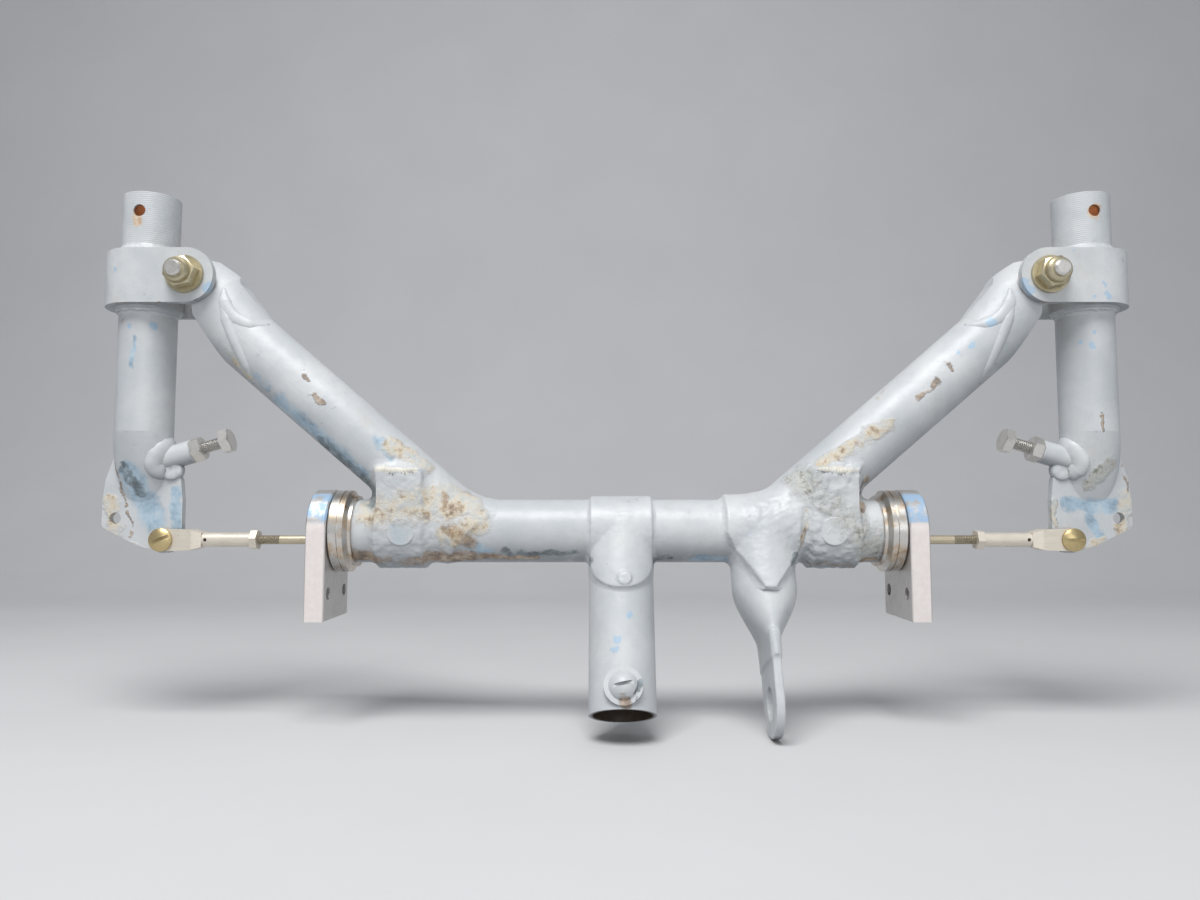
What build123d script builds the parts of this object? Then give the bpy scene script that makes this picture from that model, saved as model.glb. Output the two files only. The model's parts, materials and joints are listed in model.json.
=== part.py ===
from build123d import *
from math import asin, atan2, cos, hypot, radians, sin, tan
import os

os.makedirs("parts", exist_ok=True)

# A twin control-stick torque shaft for a light aircraft. Millimetres and degrees.
# The origin is the middle of the torque tube's axis: +X to the right stick,
# -Y to the photographed front, +Z up along the sticks.

# Clearances
running_gap = 0.05
side_gap = 0.3
open_pin_gap = 1.5

# Torque tube, journals and bearing blocks
tube_diameter = 25.4
tube_wall = 1.6
torque_tube_length = 210.0
journal_wall = 1.6
journal_engagement = 19.0
journal_overhang = 0.5
ring_diameter = 32.8
ring_width = 8.6
ring_groove_start = 4.5
ring_groove_width = 0.5
ring_groove_depth = 0.5
ring_edge = 0.5
ring_chamfer = 1.4
ring_neck_diameter = 28.6
ring_neck_width = 1.2
block_thickness = 7.9
block_depth = 33.4
block_drop = 35.0
block_edge = 0.6
block_hole_diameter = 4.9
block_hole_spacing = 22.0
block_hole_rise = 10.5
bush_wall = 1.5

# Arms and their ends
pivot_reach = 172.3
pivot_height = 102.0
arm_diameter = 25.4
arm_root_inset = 44.25
pivot_offset = 4.85
bushing_diameter = 16.4
lug_flat = 8.8
lug_shoulder_back = 10.1
lug_shoulder_rise = 5.1
lug_hip_back = 14.4
lug_hip_rise = 3.0
lug_foot = 32.0
lug_neck = 12.0
lug_trim_back = 10.5
lug_trim_drop = 5.7
lug_cap = 15.0

# Sticks
stick_offset = 21.9
stick_diameter = 22.2
stick_wall = 1.65
stick_top_height = 138.0
stick_bore_floor = 46.0
stick_hole_diameter = 4.9
stick_hole_drop = 8.0
sleeve_proud = 1.6
sleeve_chamfer = 1.0
strap_thickness = 3.2
strap_height = 22.2
squeeze_top = 40.0
squeeze_middle = 27.0
squeeze_bottom = 11.0
squeeze_middle_width = 22.0
squeeze_middle_thickness = 15.0
squeeze_bottom_width = 12.0
plate_thickness = 3.2
plate_outboard = 15.2
plate_inboard = 17.4
plate_foot = 1.6
plate_dip = 1.2
plate_waist_outboard = 0.5
plate_waist_rise = 3.2
plate_corner_rounding = 2.4
plate_side_height = 12.5
plate_shoulder_height = 21.0
plate_shoulder_inset = 1.0
plate_top_height = 32.0
plate_top_inset = 0.6
squeeze_inset = 0.3
pin_margin = 5.4
cable_hole_diameter = 4.8
cable_hole_outboard = 9.8
cable_hole_height = 5.1

# Corners of all hexagon nuts and heads
hexagon_face_share = 0.95
hexagon_chamfer_angle = 60.0

# Pivot bolts, nuts and washers
pivot_bolt_diameter = 6.35
pivot_hex = 11.1
pivot_head_height = 4.0
pivot_nut_height = 5.0
pivot_nut_collar_diameter = 9.6
pivot_nut_collar_height = 2.9
pivot_tip = 2.1
pivot_tip_chamfer = 0.7
pivot_nut_chamfer = 0.8
pivot_nut_turn = 12.0
washer_diameter = 15.0
washer_thickness = 1.4

# Stop bolts on the sticks
stop_rise = 17.0
stop_height = 32.7
stop_boss_diameter = 9.6
stop_boss_reach = 21.8
stop_boss_chamfer = 0.8
stop_bolt_diameter = 4.76
stop_hex = 9.0
stop_head_height = 3.9
stop_nut_height = 4.2
stop_nut_turn = 20.0
stop_bolt_length = 12.1
stop_thread_depth = 7.0

# Interconnect rod, forks and clevis pins
pin_inboard = 10.3
pin_height = -3.6
pin_diameter = 4.76
pin_head_diameter = 9.3
pin_head_height = 2.4
pin_head_rim = 1.0
pin_slot_width = 1.2
pin_slot_depth = 1.0
left_pin_slot_angle = 25.0
right_pin_slot_angle = 0.0
pin_tail = 4.0
cotter_diameter = 1.2
cotter_leg = 5.2
cotter_eye_diameter = 4.0
rod_diameter = 3.6
fork_cheek_radius = 4.6
fork_cheek_thickness = 2.1
fork_cheek_taper = 0.4
fork_throat = 11.0
fork_throat_wall = 1.0
fork_length = 35.2
fork_neck_diameter = 5.8
fork_neck_length = 19.5
fork_inspection_hole = 1.4
fork_inspection_inset = 1.5
fork_thread_depth = 14.0
fork_nut_hex = 7.1
fork_nut_height = 2.8
fork_nut_turn = 8.0

# Down-tube, its saddle and cross bolt
down_tube_x = 1.5
down_tube_tilt = 23.0
down_tube_length = 73.7
cross_bolt_drop = 65.5
cross_bolt_diameter = 6.35
cross_head_diameter = 10.8
cross_head_height = 3.4
cross_slot_width = 1.3
cross_slot_depth = 1.3
cross_slot_angle = 12.0
cross_boss_diameter = 14.4
cross_boss_height = 1.0
cross_nut_hex = 11.1
cross_nut_height = 5.6
cross_tail = 1.6
saddle_thickness = 1.4
saddle_width = 24.0
saddle_end_rounding = 0.8
saddle_tongue_length = 28.4

# Elevator horn and its saddle
horn_inset = 47.0
horn_length = 82.0
horn_hole_drop = 69.5
horn_hole_diameter = 12.2
horn_plate_thickness = 3.4
horn_half_width = 13.4
horn_squeeze_top = 28.8
horn_squeeze_middle = 40.0
horn_squeeze_bottom = 51.0
horn_middle_thickness = 15.0
horn_shoulder_drop = 4.0
horn_shoulder_inset = 2.0
horn_saddle_thickness = 2.0
horn_saddle_inboard = 14.5
horn_saddle_outboard = 13.0
horn_tongue_length = 28.4
horn_tongue_tip = 4.0

# Root straps and plug welds at the arm roots
root_strap_inset = 10.0
root_strap_width = 17.0
root_strap_thickness = 1.5
root_strap_top = 24.0
plug_weld_inset = 20.0
plug_weld_diameter = 11.5
plug_weld_proud = 0.9
plug_weld_rounding = 0.7

# Worked-out sizes
tube_radius = tube_diameter / 2
tube_bore_radius = tube_radius - tube_wall
journal_radius = tube_bore_radius
journal_bore_radius = journal_radius - journal_wall
tube_end = torque_tube_length / 2
ring_radius = ring_diameter / 2
ring_neck_radius = ring_neck_diameter / 2
groove_start = tube_end + ring_groove_start
groove_end = groove_start + ring_groove_width
block_inner = tube_end + ring_width + side_gap
block_outer = block_inner + block_thickness
bush_bore_radius = journal_radius + running_gap
block_bore_radius = bush_bore_radius + bush_wall
arm_radius = arm_diameter / 2
ear_gap_half = arm_radius + side_gap
ear_face = ear_gap_half + strap_thickness
stick_x = pivot_reach + stick_offset
stick_radius = stick_diameter / 2
stick_bore_radius = stick_radius - stick_wall
sleeve_radius = ear_gap_half
strap_radius = sleeve_radius + strap_thickness
pin_x = stick_x - pin_inboard
bushing_radius = bushing_diameter / 2
pivot_bolt_radius = pivot_bolt_diameter / 2
arm_root_x = tube_end - arm_root_inset
arm_run = pivot_reach - arm_root_x
arm_span = hypot(arm_run, pivot_height)
arm_rise = atan2(pivot_height, arm_run) - asin(pivot_offset / arm_span)
arm_length = arm_run * cos(arm_rise) + pivot_height * sin(arm_rise)
lug_half_height = arm_radius + pivot_offset / 2
root_strap_outer = tube_end - root_strap_inset
root_strap_inner = root_strap_outer - root_strap_width
plug_weld_x = tube_end - plug_weld_inset
horn_x = tube_end - horn_inset
far = 2 * pivot_reach
cheek_face = plate_thickness / 2 + side_gap + fork_cheek_thickness
tilt = radians(down_tube_tilt)
down = Vector(0, -sin(tilt), -cos(tilt))
front = Vector(0, -cos(tilt), sin(tilt))


def save(piece, label):
    piece.part.label = label
    export_step(piece.part, f"parts/{label}.step")


def side_plane(side, x, z):
    """A plane across Y at (x, z): its own x points outboard and its own y points up."""
    return Plane(origin=(side * x, 0, z), x_dir=(side, 0, 0), z_dir=(0, -side, 0))


def front_plane(side, x, z, y):
    """A plane that faces the front, along -Y, at the given point."""
    return Plane(origin=(side * x, y, z), x_dir=(1, 0, 0), z_dir=(0, -1, 0))


def back_plane(side, x, z, y):
    """A plane that faces the back, along +Y, at the given point."""
    return Plane(origin=(side * x, y, z), x_dir=(1, 0, 0), z_dir=(0, 1, 0))


def outboard_plane(side, x, z=0.0):
    """A plane that faces outboard along X, with its own y pointing up."""
    return Plane(origin=(side * x, 0, z), x_dir=(0, side, 0), z_dir=(side, 0, 0))


def arm_plane(side, distance):
    """A plane across the arm, at a distance along it from the torque axis."""
    along = Vector(side * cos(arm_rise), 0, sin(arm_rise))
    root = Vector(side * arm_root_x, 0, 0)
    return Plane(origin=root + along * distance, x_dir=(0, side, 0), z_dir=along)


def arm_point(along, across):
    """Turn a point along the arm from the pivot and across its axis into (outboard, up)."""
    off = across - pivot_offset
    x = along * cos(arm_rise) - off * sin(arm_rise)
    return (x, along * sin(arm_rise) + off * cos(arm_rise))


def down_plane(x, distance):
    """A plane across the tilted down-tube or horn, with its own x along X and its own y to the back."""
    return Plane(origin=Vector(x, 0, 0) + down * distance, x_dir=(1, 0, 0), z_dir=down)


def down_front_plane(x, distance, out):
    """A plane that faces the tilted front of the down-tube or horn, with its own y up the tube."""
    return Plane(origin=Vector(x, 0, 0) + down * distance + front * out, x_dir=(1, 0, 0), z_dir=front)


def down_back_plane(x, distance, out):
    """The same place on the back of the down-tube, facing the back."""
    return Plane(origin=Vector(x, 0, 0) + down * distance - front * out, x_dir=(1, 0, 0), z_dir=-front)


def stop_plane(side, distance):
    """A plane across the stop bolt's axis, facing inboard, measured from the stick's axis."""
    rise = radians(stop_rise)
    along = Vector(-side * cos(rise), 0, sin(rise))
    foot = Vector(side * stick_x, 0, stop_height - stop_boss_reach * sin(rise))
    return Plane(origin=foot + along * distance, x_dir=(0, 1, 0), z_dir=along)


def hexagon(plane, width, height, turn=0):
    """A hexagon nut or bolt head that stands on the plane, with its outer corners chamfered."""
    face_radius = hexagon_face_share * width / 2
    with BuildPart() as blank:
        with BuildSketch(plane):
            RegularPolygon(width / 2, 6, major_radius=False, rotation=turn)
        extrude(amount=height)
        with BuildSketch(plane):
            Circle(face_radius + height * tan(radians(hexagon_chamfer_angle)))
        extrude(amount=height, taper=hexagon_chamfer_angle, mode=Mode.INTERSECT)
    return blank.part


# Torque tube, open from end to end for the interconnect rod
with BuildPart() as torque_tube:
    with BuildSketch(Plane.YZ):
        Circle(tube_radius)
        Circle(tube_bore_radius, mode=Mode.SUBTRACT)
    extrude(amount=tube_end, both=True)
save(torque_tube, "torque_tube")

arms = {}
for name, side in (("left", -1), ("right", 1)):
    # Journal sleeve that turns in the bearing block
    journal_start = tube_end - journal_engagement
    with BuildPart() as journal:
        with BuildSketch(outboard_plane(side, journal_start)):
            Circle(journal_radius)
            Circle(journal_bore_radius, mode=Mode.SUBTRACT)
        extrude(amount=block_outer + journal_overhang - journal_start)
    save(journal, f"{name}_journal")

    # Thrust ring between the tube's end and the block
    with BuildPart() as ring:
        with BuildSketch(Plane.XZ):
            with BuildLine():
                Polyline(
                    (side * tube_end, journal_radius),
                    (side * tube_end, ring_neck_radius),
                    (side * (tube_end + ring_neck_width), ring_neck_radius),
                    (side * (tube_end + ring_neck_width + ring_chamfer), ring_radius),
                    (side * groove_start, ring_radius),
                    (side * groove_start, ring_radius - ring_groove_depth),
                    (side * groove_end, ring_radius - ring_groove_depth),
                    (side * groove_end, ring_radius),
                    (side * (tube_end + ring_width - ring_edge), ring_radius),
                    (side * (tube_end + ring_width), ring_radius - ring_edge),
                    (side * (tube_end + ring_width), journal_radius),
                    close=True,
                )
            make_face()
        revolve(axis=Axis.X)
    save(ring, f"{name}_thrust_ring")

    # Bearing block with a round top and two bolt holes
    with BuildPart() as block:
        with BuildSketch(outboard_plane(side, block_inner)):
            Circle(block_depth / 2)
            with Locations((0, -block_drop / 2)):
                Rectangle(block_depth, block_drop)
        extrude(amount=block_thickness)
        block_faces = block.faces().sort_by(Axis.X)
        chamfer(block_faces[0].edges() + block_faces[-1].edges(), block_edge)
        with BuildSketch(outboard_plane(side, block_inner)):
            Circle(block_bore_radius)
            with Locations((0, block_hole_rise - block_drop)):
                with GridLocations(block_hole_spacing, 0, 2, 1):
                    Circle(block_hole_diameter / 2)
        extrude(amount=block_thickness, mode=Mode.SUBTRACT)
    save(block, f"{name}_bearing_block")

    with BuildPart() as bush:
        with BuildSketch(outboard_plane(side, block_inner)):
            Circle(block_bore_radius)
            Circle(bush_bore_radius, mode=Mode.SUBTRACT)
        extrude(amount=block_thickness)
    save(bush, f"{name}_block_bush")

    # Arm: a tube cut to fit the torque tube, with its upper end swelled into a closed lug
    with BuildPart() as arm_hollow:
        with BuildSketch(arm_plane(side, 0)):
            Circle(arm_radius - tube_wall)
        extrude(amount=arm_length - lug_cap)
        with BuildSketch(side_plane(side, pivot_reach, pivot_height)):
            with BuildLine():
                Polyline(
                    arm_point(-far, arm_diameter),
                    arm_point(-far, -arm_diameter),
                    arm_point(-lug_foot, -arm_radius + 2 * tube_wall),
                    arm_point(-lug_cap, -lug_trim_drop + 2 * tube_wall),
                    arm_point(-lug_cap, arm_diameter),
                    close=True,
                )
            make_face()
        extrude(amount=arm_diameter, both=True, mode=Mode.INTERSECT)

    with BuildPart() as arm:
        with BuildSketch(arm_plane(side, 0)):
            Circle(arm_radius)
        extrude(amount=arm_length - lug_foot)
        with BuildSketch(arm_plane(side, arm_length - lug_foot)):
            Circle(arm_radius)
        with BuildSketch(arm_plane(side, arm_length - lug_neck)):
            with Locations((0, pivot_offset / 2)):
                Ellipse(arm_radius, lug_half_height)
        loft()
        with BuildSketch(arm_plane(side, arm_length - lug_neck)):
            with Locations((0, pivot_offset / 2)):
                Ellipse(arm_radius, lug_half_height)
        extrude(amount=lug_neck + lug_flat)
        with BuildSketch(side_plane(side, pivot_reach, pivot_height)):
            with BuildLine():
                Polyline(
                    (0, bushing_radius),
                    (-lug_flat, bushing_radius),
                    arm_point(-lug_shoulder_back, arm_radius + lug_shoulder_rise),
                    arm_point(-lug_hip_back, arm_radius + lug_hip_rise),
                    arm_point(-lug_foot, arm_radius),
                    arm_point(-far, arm_diameter),
                    arm_point(-far, -arm_diameter),
                    arm_point(-lug_foot - side_gap, -arm_radius - side_gap),
                    arm_point(-lug_trim_back, -lug_trim_drop),
                    (arm_point(-lug_trim_back, -lug_trim_drop)[0], 0),
                    (0, 0),
                    close=True,
                )
            make_face()
        extrude(amount=arm_diameter, both=True, mode=Mode.INTERSECT)
        add(arm_hollow.part, mode=Mode.SUBTRACT)
        with BuildSketch(Plane.YZ):
            Circle(tube_radius)
        extrude(amount=pivot_reach, both=True, mode=Mode.SUBTRACT)
        with BuildSketch(side_plane(side, pivot_reach, pivot_height)):
            Circle(bushing_radius)
        extrude(amount=arm_diameter, both=True, mode=Mode.SUBTRACT)
    arms[name] = arm.part
    save(arm, f"{name}_arm")

    # Root strap: a U bent under the torque tube, with its legs welded to the arm's two sides
    with BuildPart() as root_strap:
        with BuildSketch(outboard_plane(side, root_strap_inner)):
            Circle(tube_radius + root_strap_thickness)
            with Locations((0, root_strap_top / 2)):
                Rectangle(tube_diameter + 2 * root_strap_thickness, root_strap_top)
            Circle(tube_radius, mode=Mode.SUBTRACT)
            with Locations((0, root_strap_top / 2)):
                Rectangle(tube_diameter, root_strap_top, mode=Mode.SUBTRACT)
        extrude(amount=root_strap_outer - root_strap_inner)
    save(root_strap, f"{name}_root_strap")

    with BuildPart() as plug_welds:
        with BuildSketch(side_plane(side, plug_weld_x, 0)):
            Circle(plug_weld_diameter / 2)
        extrude(amount=tube_radius + root_strap_thickness + plug_weld_proud, both=True)
        fillet(plug_welds.edges().filter_by(GeomType.CIRCLE), plug_weld_rounding)
        with BuildSketch(outboard_plane(side, root_strap_inner)):
            Circle(tube_radius + root_strap_thickness)
            with Locations((0, root_strap_top / 2)):
                Rectangle(tube_diameter + 2 * root_strap_thickness, root_strap_top)
        extrude(amount=root_strap_outer - root_strap_inner, mode=Mode.SUBTRACT)
    save(plug_welds, f"{name}_plug_welds")

    with BuildPart() as arm_bushing:
        with BuildSketch(side_plane(side, pivot_reach, pivot_height)):
            Circle(bushing_radius)
            Circle(pivot_bolt_radius + running_gap, mode=Mode.SUBTRACT)
        extrude(amount=arm_radius, both=True)
    save(arm_bushing, f"{name}_arm_bushing")

    # Stick tube: round above, pressed flat below into a horn plate
    with BuildPart() as stick:
        with BuildSketch(Plane(origin=(side * stick_x, 0, squeeze_top))):
            Circle(stick_radius)
        extrude(amount=stick_top_height - squeeze_top)
        with BuildSketch(Plane(origin=(side * stick_x, 0, squeeze_top))):
            Circle(stick_radius)
        with BuildSketch(Plane(origin=(side * stick_x, 0, squeeze_middle))):
            Ellipse(squeeze_middle_width / 2, squeeze_middle_thickness / 2)
        with BuildSketch(Plane(origin=(side * stick_x, 0, squeeze_bottom))):
            Ellipse(squeeze_bottom_width / 2, plate_thickness / 2 - squeeze_inset)
        loft()
        with BuildSketch(side_plane(side, stick_x, 0)) as plate:
            with BuildLine():
                Polyline(
                    (-plate_inboard, plate_side_height),
                    (-plate_inboard, pin_height),
                    (-pin_inboard, pin_height - pin_margin),
                    (plate_waist_outboard, pin_height - pin_margin + plate_waist_rise),
                    (cable_hole_outboard, -plate_dip),
                    (plate_outboard, plate_foot),
                    (plate_outboard, plate_side_height),
                    (plate_outboard - plate_shoulder_inset, plate_shoulder_height),
                    (stick_radius - plate_top_inset, plate_top_height),
                    (plate_top_inset - stick_radius, plate_top_height),
                    (plate_shoulder_inset - plate_inboard, plate_shoulder_height),
                    close=True,
                )
            make_face()
            foot_corner = plate.vertices().sort_by_distance((plate_outboard, plate_foot))[0]
            fillet(foot_corner, plate_corner_rounding)
            with Locations((-pin_inboard, pin_height)):
                Circle(pin_margin)
        extrude(amount=plate_thickness / 2, both=True)
        with BuildSketch(Plane(origin=(side * stick_x, 0, stick_bore_floor))):
            Circle(stick_bore_radius)
        extrude(amount=stick_top_height, mode=Mode.SUBTRACT)
        with BuildSketch(side_plane(side, stick_x, 0)):
            with Locations((cable_hole_outboard, cable_hole_height)):
                Circle(cable_hole_diameter / 2)
            with Locations((0, stick_top_height - stick_hole_drop)):
                Circle(stick_hole_diameter / 2)
            with Locations((-pin_inboard, pin_height)):
                Circle(pin_diameter / 2 + (running_gap if name == "left" else open_pin_gap))
        extrude(amount=stick_diameter, both=True, mode=Mode.SUBTRACT)
        with BuildSketch(stop_plane(side, stop_boss_reach - stop_thread_depth)):
            Circle(stop_bolt_diameter / 2)
        extrude(amount=stop_thread_depth, mode=Mode.SUBTRACT)
    save(stick, f"{name}_stick_tube")

    with BuildPart() as sleeve:
        with BuildSketch(Plane(origin=(side * stick_x, 0, pivot_height))):
            Circle(sleeve_radius)
        extrude(amount=strap_height / 2 + sleeve_proud, both=True)
        chamfer(sleeve.edges().filter_by(GeomType.CIRCLE), sleeve_chamfer)
        with BuildSketch(Plane(origin=(side * stick_x, 0, pivot_height))):
            Circle(stick_radius)
        extrude(amount=strap_height, both=True, mode=Mode.SUBTRACT)
    save(sleeve, f"{name}_stick_sleeve")

    # U-strap with two round ears that straddle the arm's end
    with BuildPart() as strap:
        with BuildSketch(Plane(origin=(side * stick_x, 0, pivot_height))):
            Circle(strap_radius)
            with Locations((-side * (stick_offset + strap_height / 2) / 2, 0)):
                Rectangle(stick_offset + strap_height / 2, 2 * strap_radius)
            Circle(sleeve_radius, mode=Mode.SUBTRACT)
            with Locations((-side * stick_offset, 0)):
                Rectangle(2 * stick_offset, 2 * sleeve_radius, mode=Mode.SUBTRACT)
        extrude(amount=strap_height / 2, both=True)
        with BuildSketch(side_plane(side, pivot_reach, pivot_height)):
            with Locations((-strap_height / 4, 0)):
                Rectangle(strap_height / 2, strap_height)
            Circle(strap_height / 2, mode=Mode.SUBTRACT)
        extrude(amount=2 * strap_radius, both=True, mode=Mode.SUBTRACT)
        with BuildSketch(side_plane(side, pivot_reach, pivot_height)):
            Circle(pivot_bolt_radius)
        extrude(amount=2 * strap_radius, both=True, mode=Mode.SUBTRACT)
    save(strap, f"{name}_stick_strap")

    # Pivot bolt from the back, with washers and a self-locking nut at the front
    nut_base = ear_face + washer_thickness
    nut_top = nut_base + pivot_nut_height + pivot_nut_collar_height
    with BuildPart() as pivot_bolt:
        with BuildSketch(front_plane(side, pivot_reach, pivot_height, nut_base)):
            Circle(pivot_bolt_radius)
        extrude(amount=nut_base + nut_top + pivot_tip)
        chamfer(pivot_bolt.edges().sort_by(Axis.Y)[0], pivot_tip_chamfer)
        add(hexagon(back_plane(side, pivot_reach, pivot_height, nut_base), pivot_hex, pivot_head_height))
    save(pivot_bolt, f"{name}_pivot_bolt")

    with BuildPart() as pivot_washers:
        for face in (ear_face + washer_thickness, -ear_face):
            with BuildSketch(front_plane(side, pivot_reach, pivot_height, face)):
                Circle(washer_diameter / 2)
                Circle(pivot_bolt_radius, mode=Mode.SUBTRACT)
            extrude(amount=washer_thickness)
    save(pivot_washers, f"{name}_pivot_washers")

    with BuildPart() as pivot_nut:
        nut_seat = front_plane(side, pivot_reach, pivot_height, -nut_base)
        add(hexagon(nut_seat, pivot_hex, pivot_nut_height, pivot_nut_turn))
        with BuildSketch(front_plane(side, pivot_reach, pivot_height, -nut_base - pivot_nut_height)):
            Circle(pivot_nut_collar_diameter / 2)
        extrude(amount=pivot_nut_collar_height)
        chamfer(pivot_nut.edges().sort_by(Axis.Y)[0], pivot_nut_chamfer)
        with BuildSketch(front_plane(side, pivot_reach, pivot_height, 0)):
            Circle(pivot_bolt_radius)
        extrude(amount=2 * nut_top, mode=Mode.SUBTRACT)
    save(pivot_nut, f"{name}_pivot_nut")

    # Adjustable stop: a boss on the stick, a jam nut and a hex bolt that points at the arm
    with BuildPart() as stop_boss:
        with BuildSketch(stop_plane(side, 0)):
            Circle(stop_boss_diameter / 2)
        extrude(amount=stop_boss_reach)
        inward = Axis((0, 0, 0), (-side, 0, 0))
        chamfer(stop_boss.edges().sort_by(inward)[-1], stop_boss_chamfer)
        add(stick.part, mode=Mode.SUBTRACT)
        with BuildSketch(stop_plane(side, stop_boss_reach - stop_thread_depth)):
            Circle(stop_bolt_diameter / 2)
        extrude(amount=stop_thread_depth, mode=Mode.SUBTRACT)
    save(stop_boss, f"{name}_stop_boss")

    with BuildPart() as stop_nut:
        add(hexagon(stop_plane(side, stop_boss_reach), stop_hex, stop_nut_height, stop_nut_turn))
        with BuildSketch(stop_plane(side, stop_boss_reach)):
            Circle(stop_bolt_diameter / 2)
        extrude(amount=stop_nut_height, mode=Mode.SUBTRACT)
    save(stop_nut, f"{name}_stop_nut")

    with BuildPart() as stop_bolt:
        with BuildSketch(stop_plane(side, stop_boss_reach - stop_thread_depth)):
            Circle(stop_bolt_diameter / 2)
        extrude(amount=stop_thread_depth + stop_bolt_length)
        add(hexagon(stop_plane(side, stop_boss_reach + stop_bolt_length), stop_hex, stop_head_height))
    save(stop_bolt, f"{name}_stop_bolt")

    # Fork end of the interconnect rod: round cheeks that narrow to a threaded neck
    neck_start = fork_length - fork_neck_length
    top_view = Plane(origin=(side * pin_x, 0, pin_height), x_dir=(side, 0, 0), z_dir=(0, 0, side))
    with BuildPart() as fork:
        with BuildSketch(side_plane(side, pin_x, pin_height)):
            Circle(fork_cheek_radius)
            with BuildLine():
                Polyline(
                    (0, fork_cheek_radius),
                    (-fork_throat, fork_cheek_radius - fork_cheek_taper),
                    (-neck_start, fork_neck_diameter / 2),
                    (-neck_start, -fork_neck_diameter / 2),
                    (-fork_throat, -fork_cheek_radius + fork_cheek_taper),
                    (0, -fork_cheek_radius),
                    close=True,
                )
            make_face()
        extrude(amount=cheek_face, both=True)
        with BuildSketch(top_view):
            with BuildLine():
                Polyline(
                    (fork_cheek_radius, cheek_face),
                    (-fork_throat - fork_throat_wall, cheek_face),
                    (-neck_start, fork_neck_diameter / 2),
                    (-neck_start, -fork_neck_diameter / 2),
                    (-fork_throat - fork_throat_wall, -cheek_face),
                    (fork_cheek_radius, -cheek_face),
                    close=True,
                )
            make_face()
        extrude(amount=2 * fork_cheek_radius, both=True, mode=Mode.INTERSECT)
        with BuildSketch(outboard_plane(side, pin_x - fork_length, pin_height)):
            Circle(fork_neck_diameter / 2)
        extrude(amount=fork_neck_length)
        with BuildSketch(side_plane(side, pin_x, pin_height)):
            with Locations((-fork_throat / 2 + fork_cheek_radius, 0)):
                Rectangle(fork_throat + 2 * fork_cheek_radius, 4 * fork_cheek_radius)
        extrude(amount=plate_thickness / 2 + side_gap, both=True, mode=Mode.SUBTRACT)
        with BuildSketch(side_plane(side, pin_x, pin_height)):
            Circle(pin_diameter / 2)
            with Locations((-neck_start - fork_inspection_inset, 0)):
                Circle(fork_inspection_hole / 2)
        extrude(amount=2 * cheek_face, both=True, mode=Mode.SUBTRACT)
        with BuildSketch(outboard_plane(side, pin_x - fork_length, pin_height)):
            Circle(rod_diameter / 2)
        extrude(amount=fork_thread_depth, mode=Mode.SUBTRACT)
    save(fork, f"{name}_fork")

    with BuildPart() as fork_nut:
        with BuildSketch(outboard_plane(side, pin_x - fork_length - fork_nut_height, pin_height)):
            RegularPolygon(fork_nut_hex / 2, 6, major_radius=False, rotation=fork_nut_turn)
            Circle(rod_diameter / 2, mode=Mode.SUBTRACT)
        extrude(amount=fork_nut_height)
    save(fork_nut, f"{name}_fork_nut")

    # Clevis pin with a slotted dome head at the front and a cotter pin behind
    slot_angle = left_pin_slot_angle if name == "left" else right_pin_slot_angle
    pin_head_radius = pin_head_diameter / 2
    dome_rise = pin_head_height - pin_head_rim
    dome_radius = (dome_rise**2 + pin_head_radius**2) / (2 * dome_rise)
    with BuildPart() as clevis_pin:
        with BuildSketch(front_plane(side, pin_x, pin_height, cheek_face + pin_tail)):
            Circle(pin_diameter / 2)
        extrude(amount=2 * cheek_face + pin_tail)
        with BuildSketch(Plane(origin=(side * pin_x, -cheek_face, pin_height))):
            with BuildLine():
                Line((0, 0), (pin_head_radius, 0))
                Line((pin_head_radius, 0), (pin_head_radius, -pin_head_rim))
                RadiusArc((pin_head_radius, -pin_head_rim), (0, -pin_head_height), dome_radius)
                Line((0, -pin_head_height), (0, 0))
            make_face()
        revolve(axis=Axis((side * pin_x, 0, pin_height), (0, 1, 0)))
        slot_floor = cheek_face + pin_head_height - pin_slot_depth
        with BuildSketch(front_plane(side, pin_x, pin_height, -slot_floor)):
            Rectangle(2 * pin_head_diameter, pin_slot_width, rotation=slot_angle)
        extrude(amount=pin_slot_depth, mode=Mode.SUBTRACT)
        with BuildSketch(Plane(origin=(side * pin_x, cheek_face + pin_tail / 2, pin_height))):
            Circle(cotter_diameter / 2)
        extrude(amount=pin_diameter, both=True, mode=Mode.SUBTRACT)
    save(clevis_pin, f"{name}_clevis_pin")

    # Cotter pin: a straight shank through the clevis pin, an eye above and a bent leg below
    cotter_y = cheek_face + pin_tail / 2
    with BuildPart() as cotter:
        with BuildSketch(Plane(origin=(side * pin_x, cotter_y, pin_height - cotter_leg))):
            Circle(cotter_diameter / 2)
        extrude(amount=2 * cotter_leg)
        eye_centre = (side * pin_x, cotter_y, pin_height + cotter_leg + cotter_eye_diameter / 2)
        with BuildSketch(Plane(origin=eye_centre, x_dir=(1, 0, 0), z_dir=(0, 1, 0))):
            Circle((cotter_eye_diameter + cotter_diameter) / 2)
            Circle((cotter_eye_diameter - cotter_diameter) / 2, mode=Mode.SUBTRACT)
        extrude(amount=cotter_diameter / 2, both=True)
    save(cotter, f"{name}_cotter_pin")

# Interconnect rod through the hollow torque tube
rod_end = pin_x - fork_length + fork_thread_depth
with BuildPart() as rod:
    with BuildSketch(outboard_plane(1, -rod_end, pin_height)):
        Circle(rod_diameter / 2)
    extrude(amount=2 * rod_end)
save(rod, "interconnect_rod")

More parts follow.
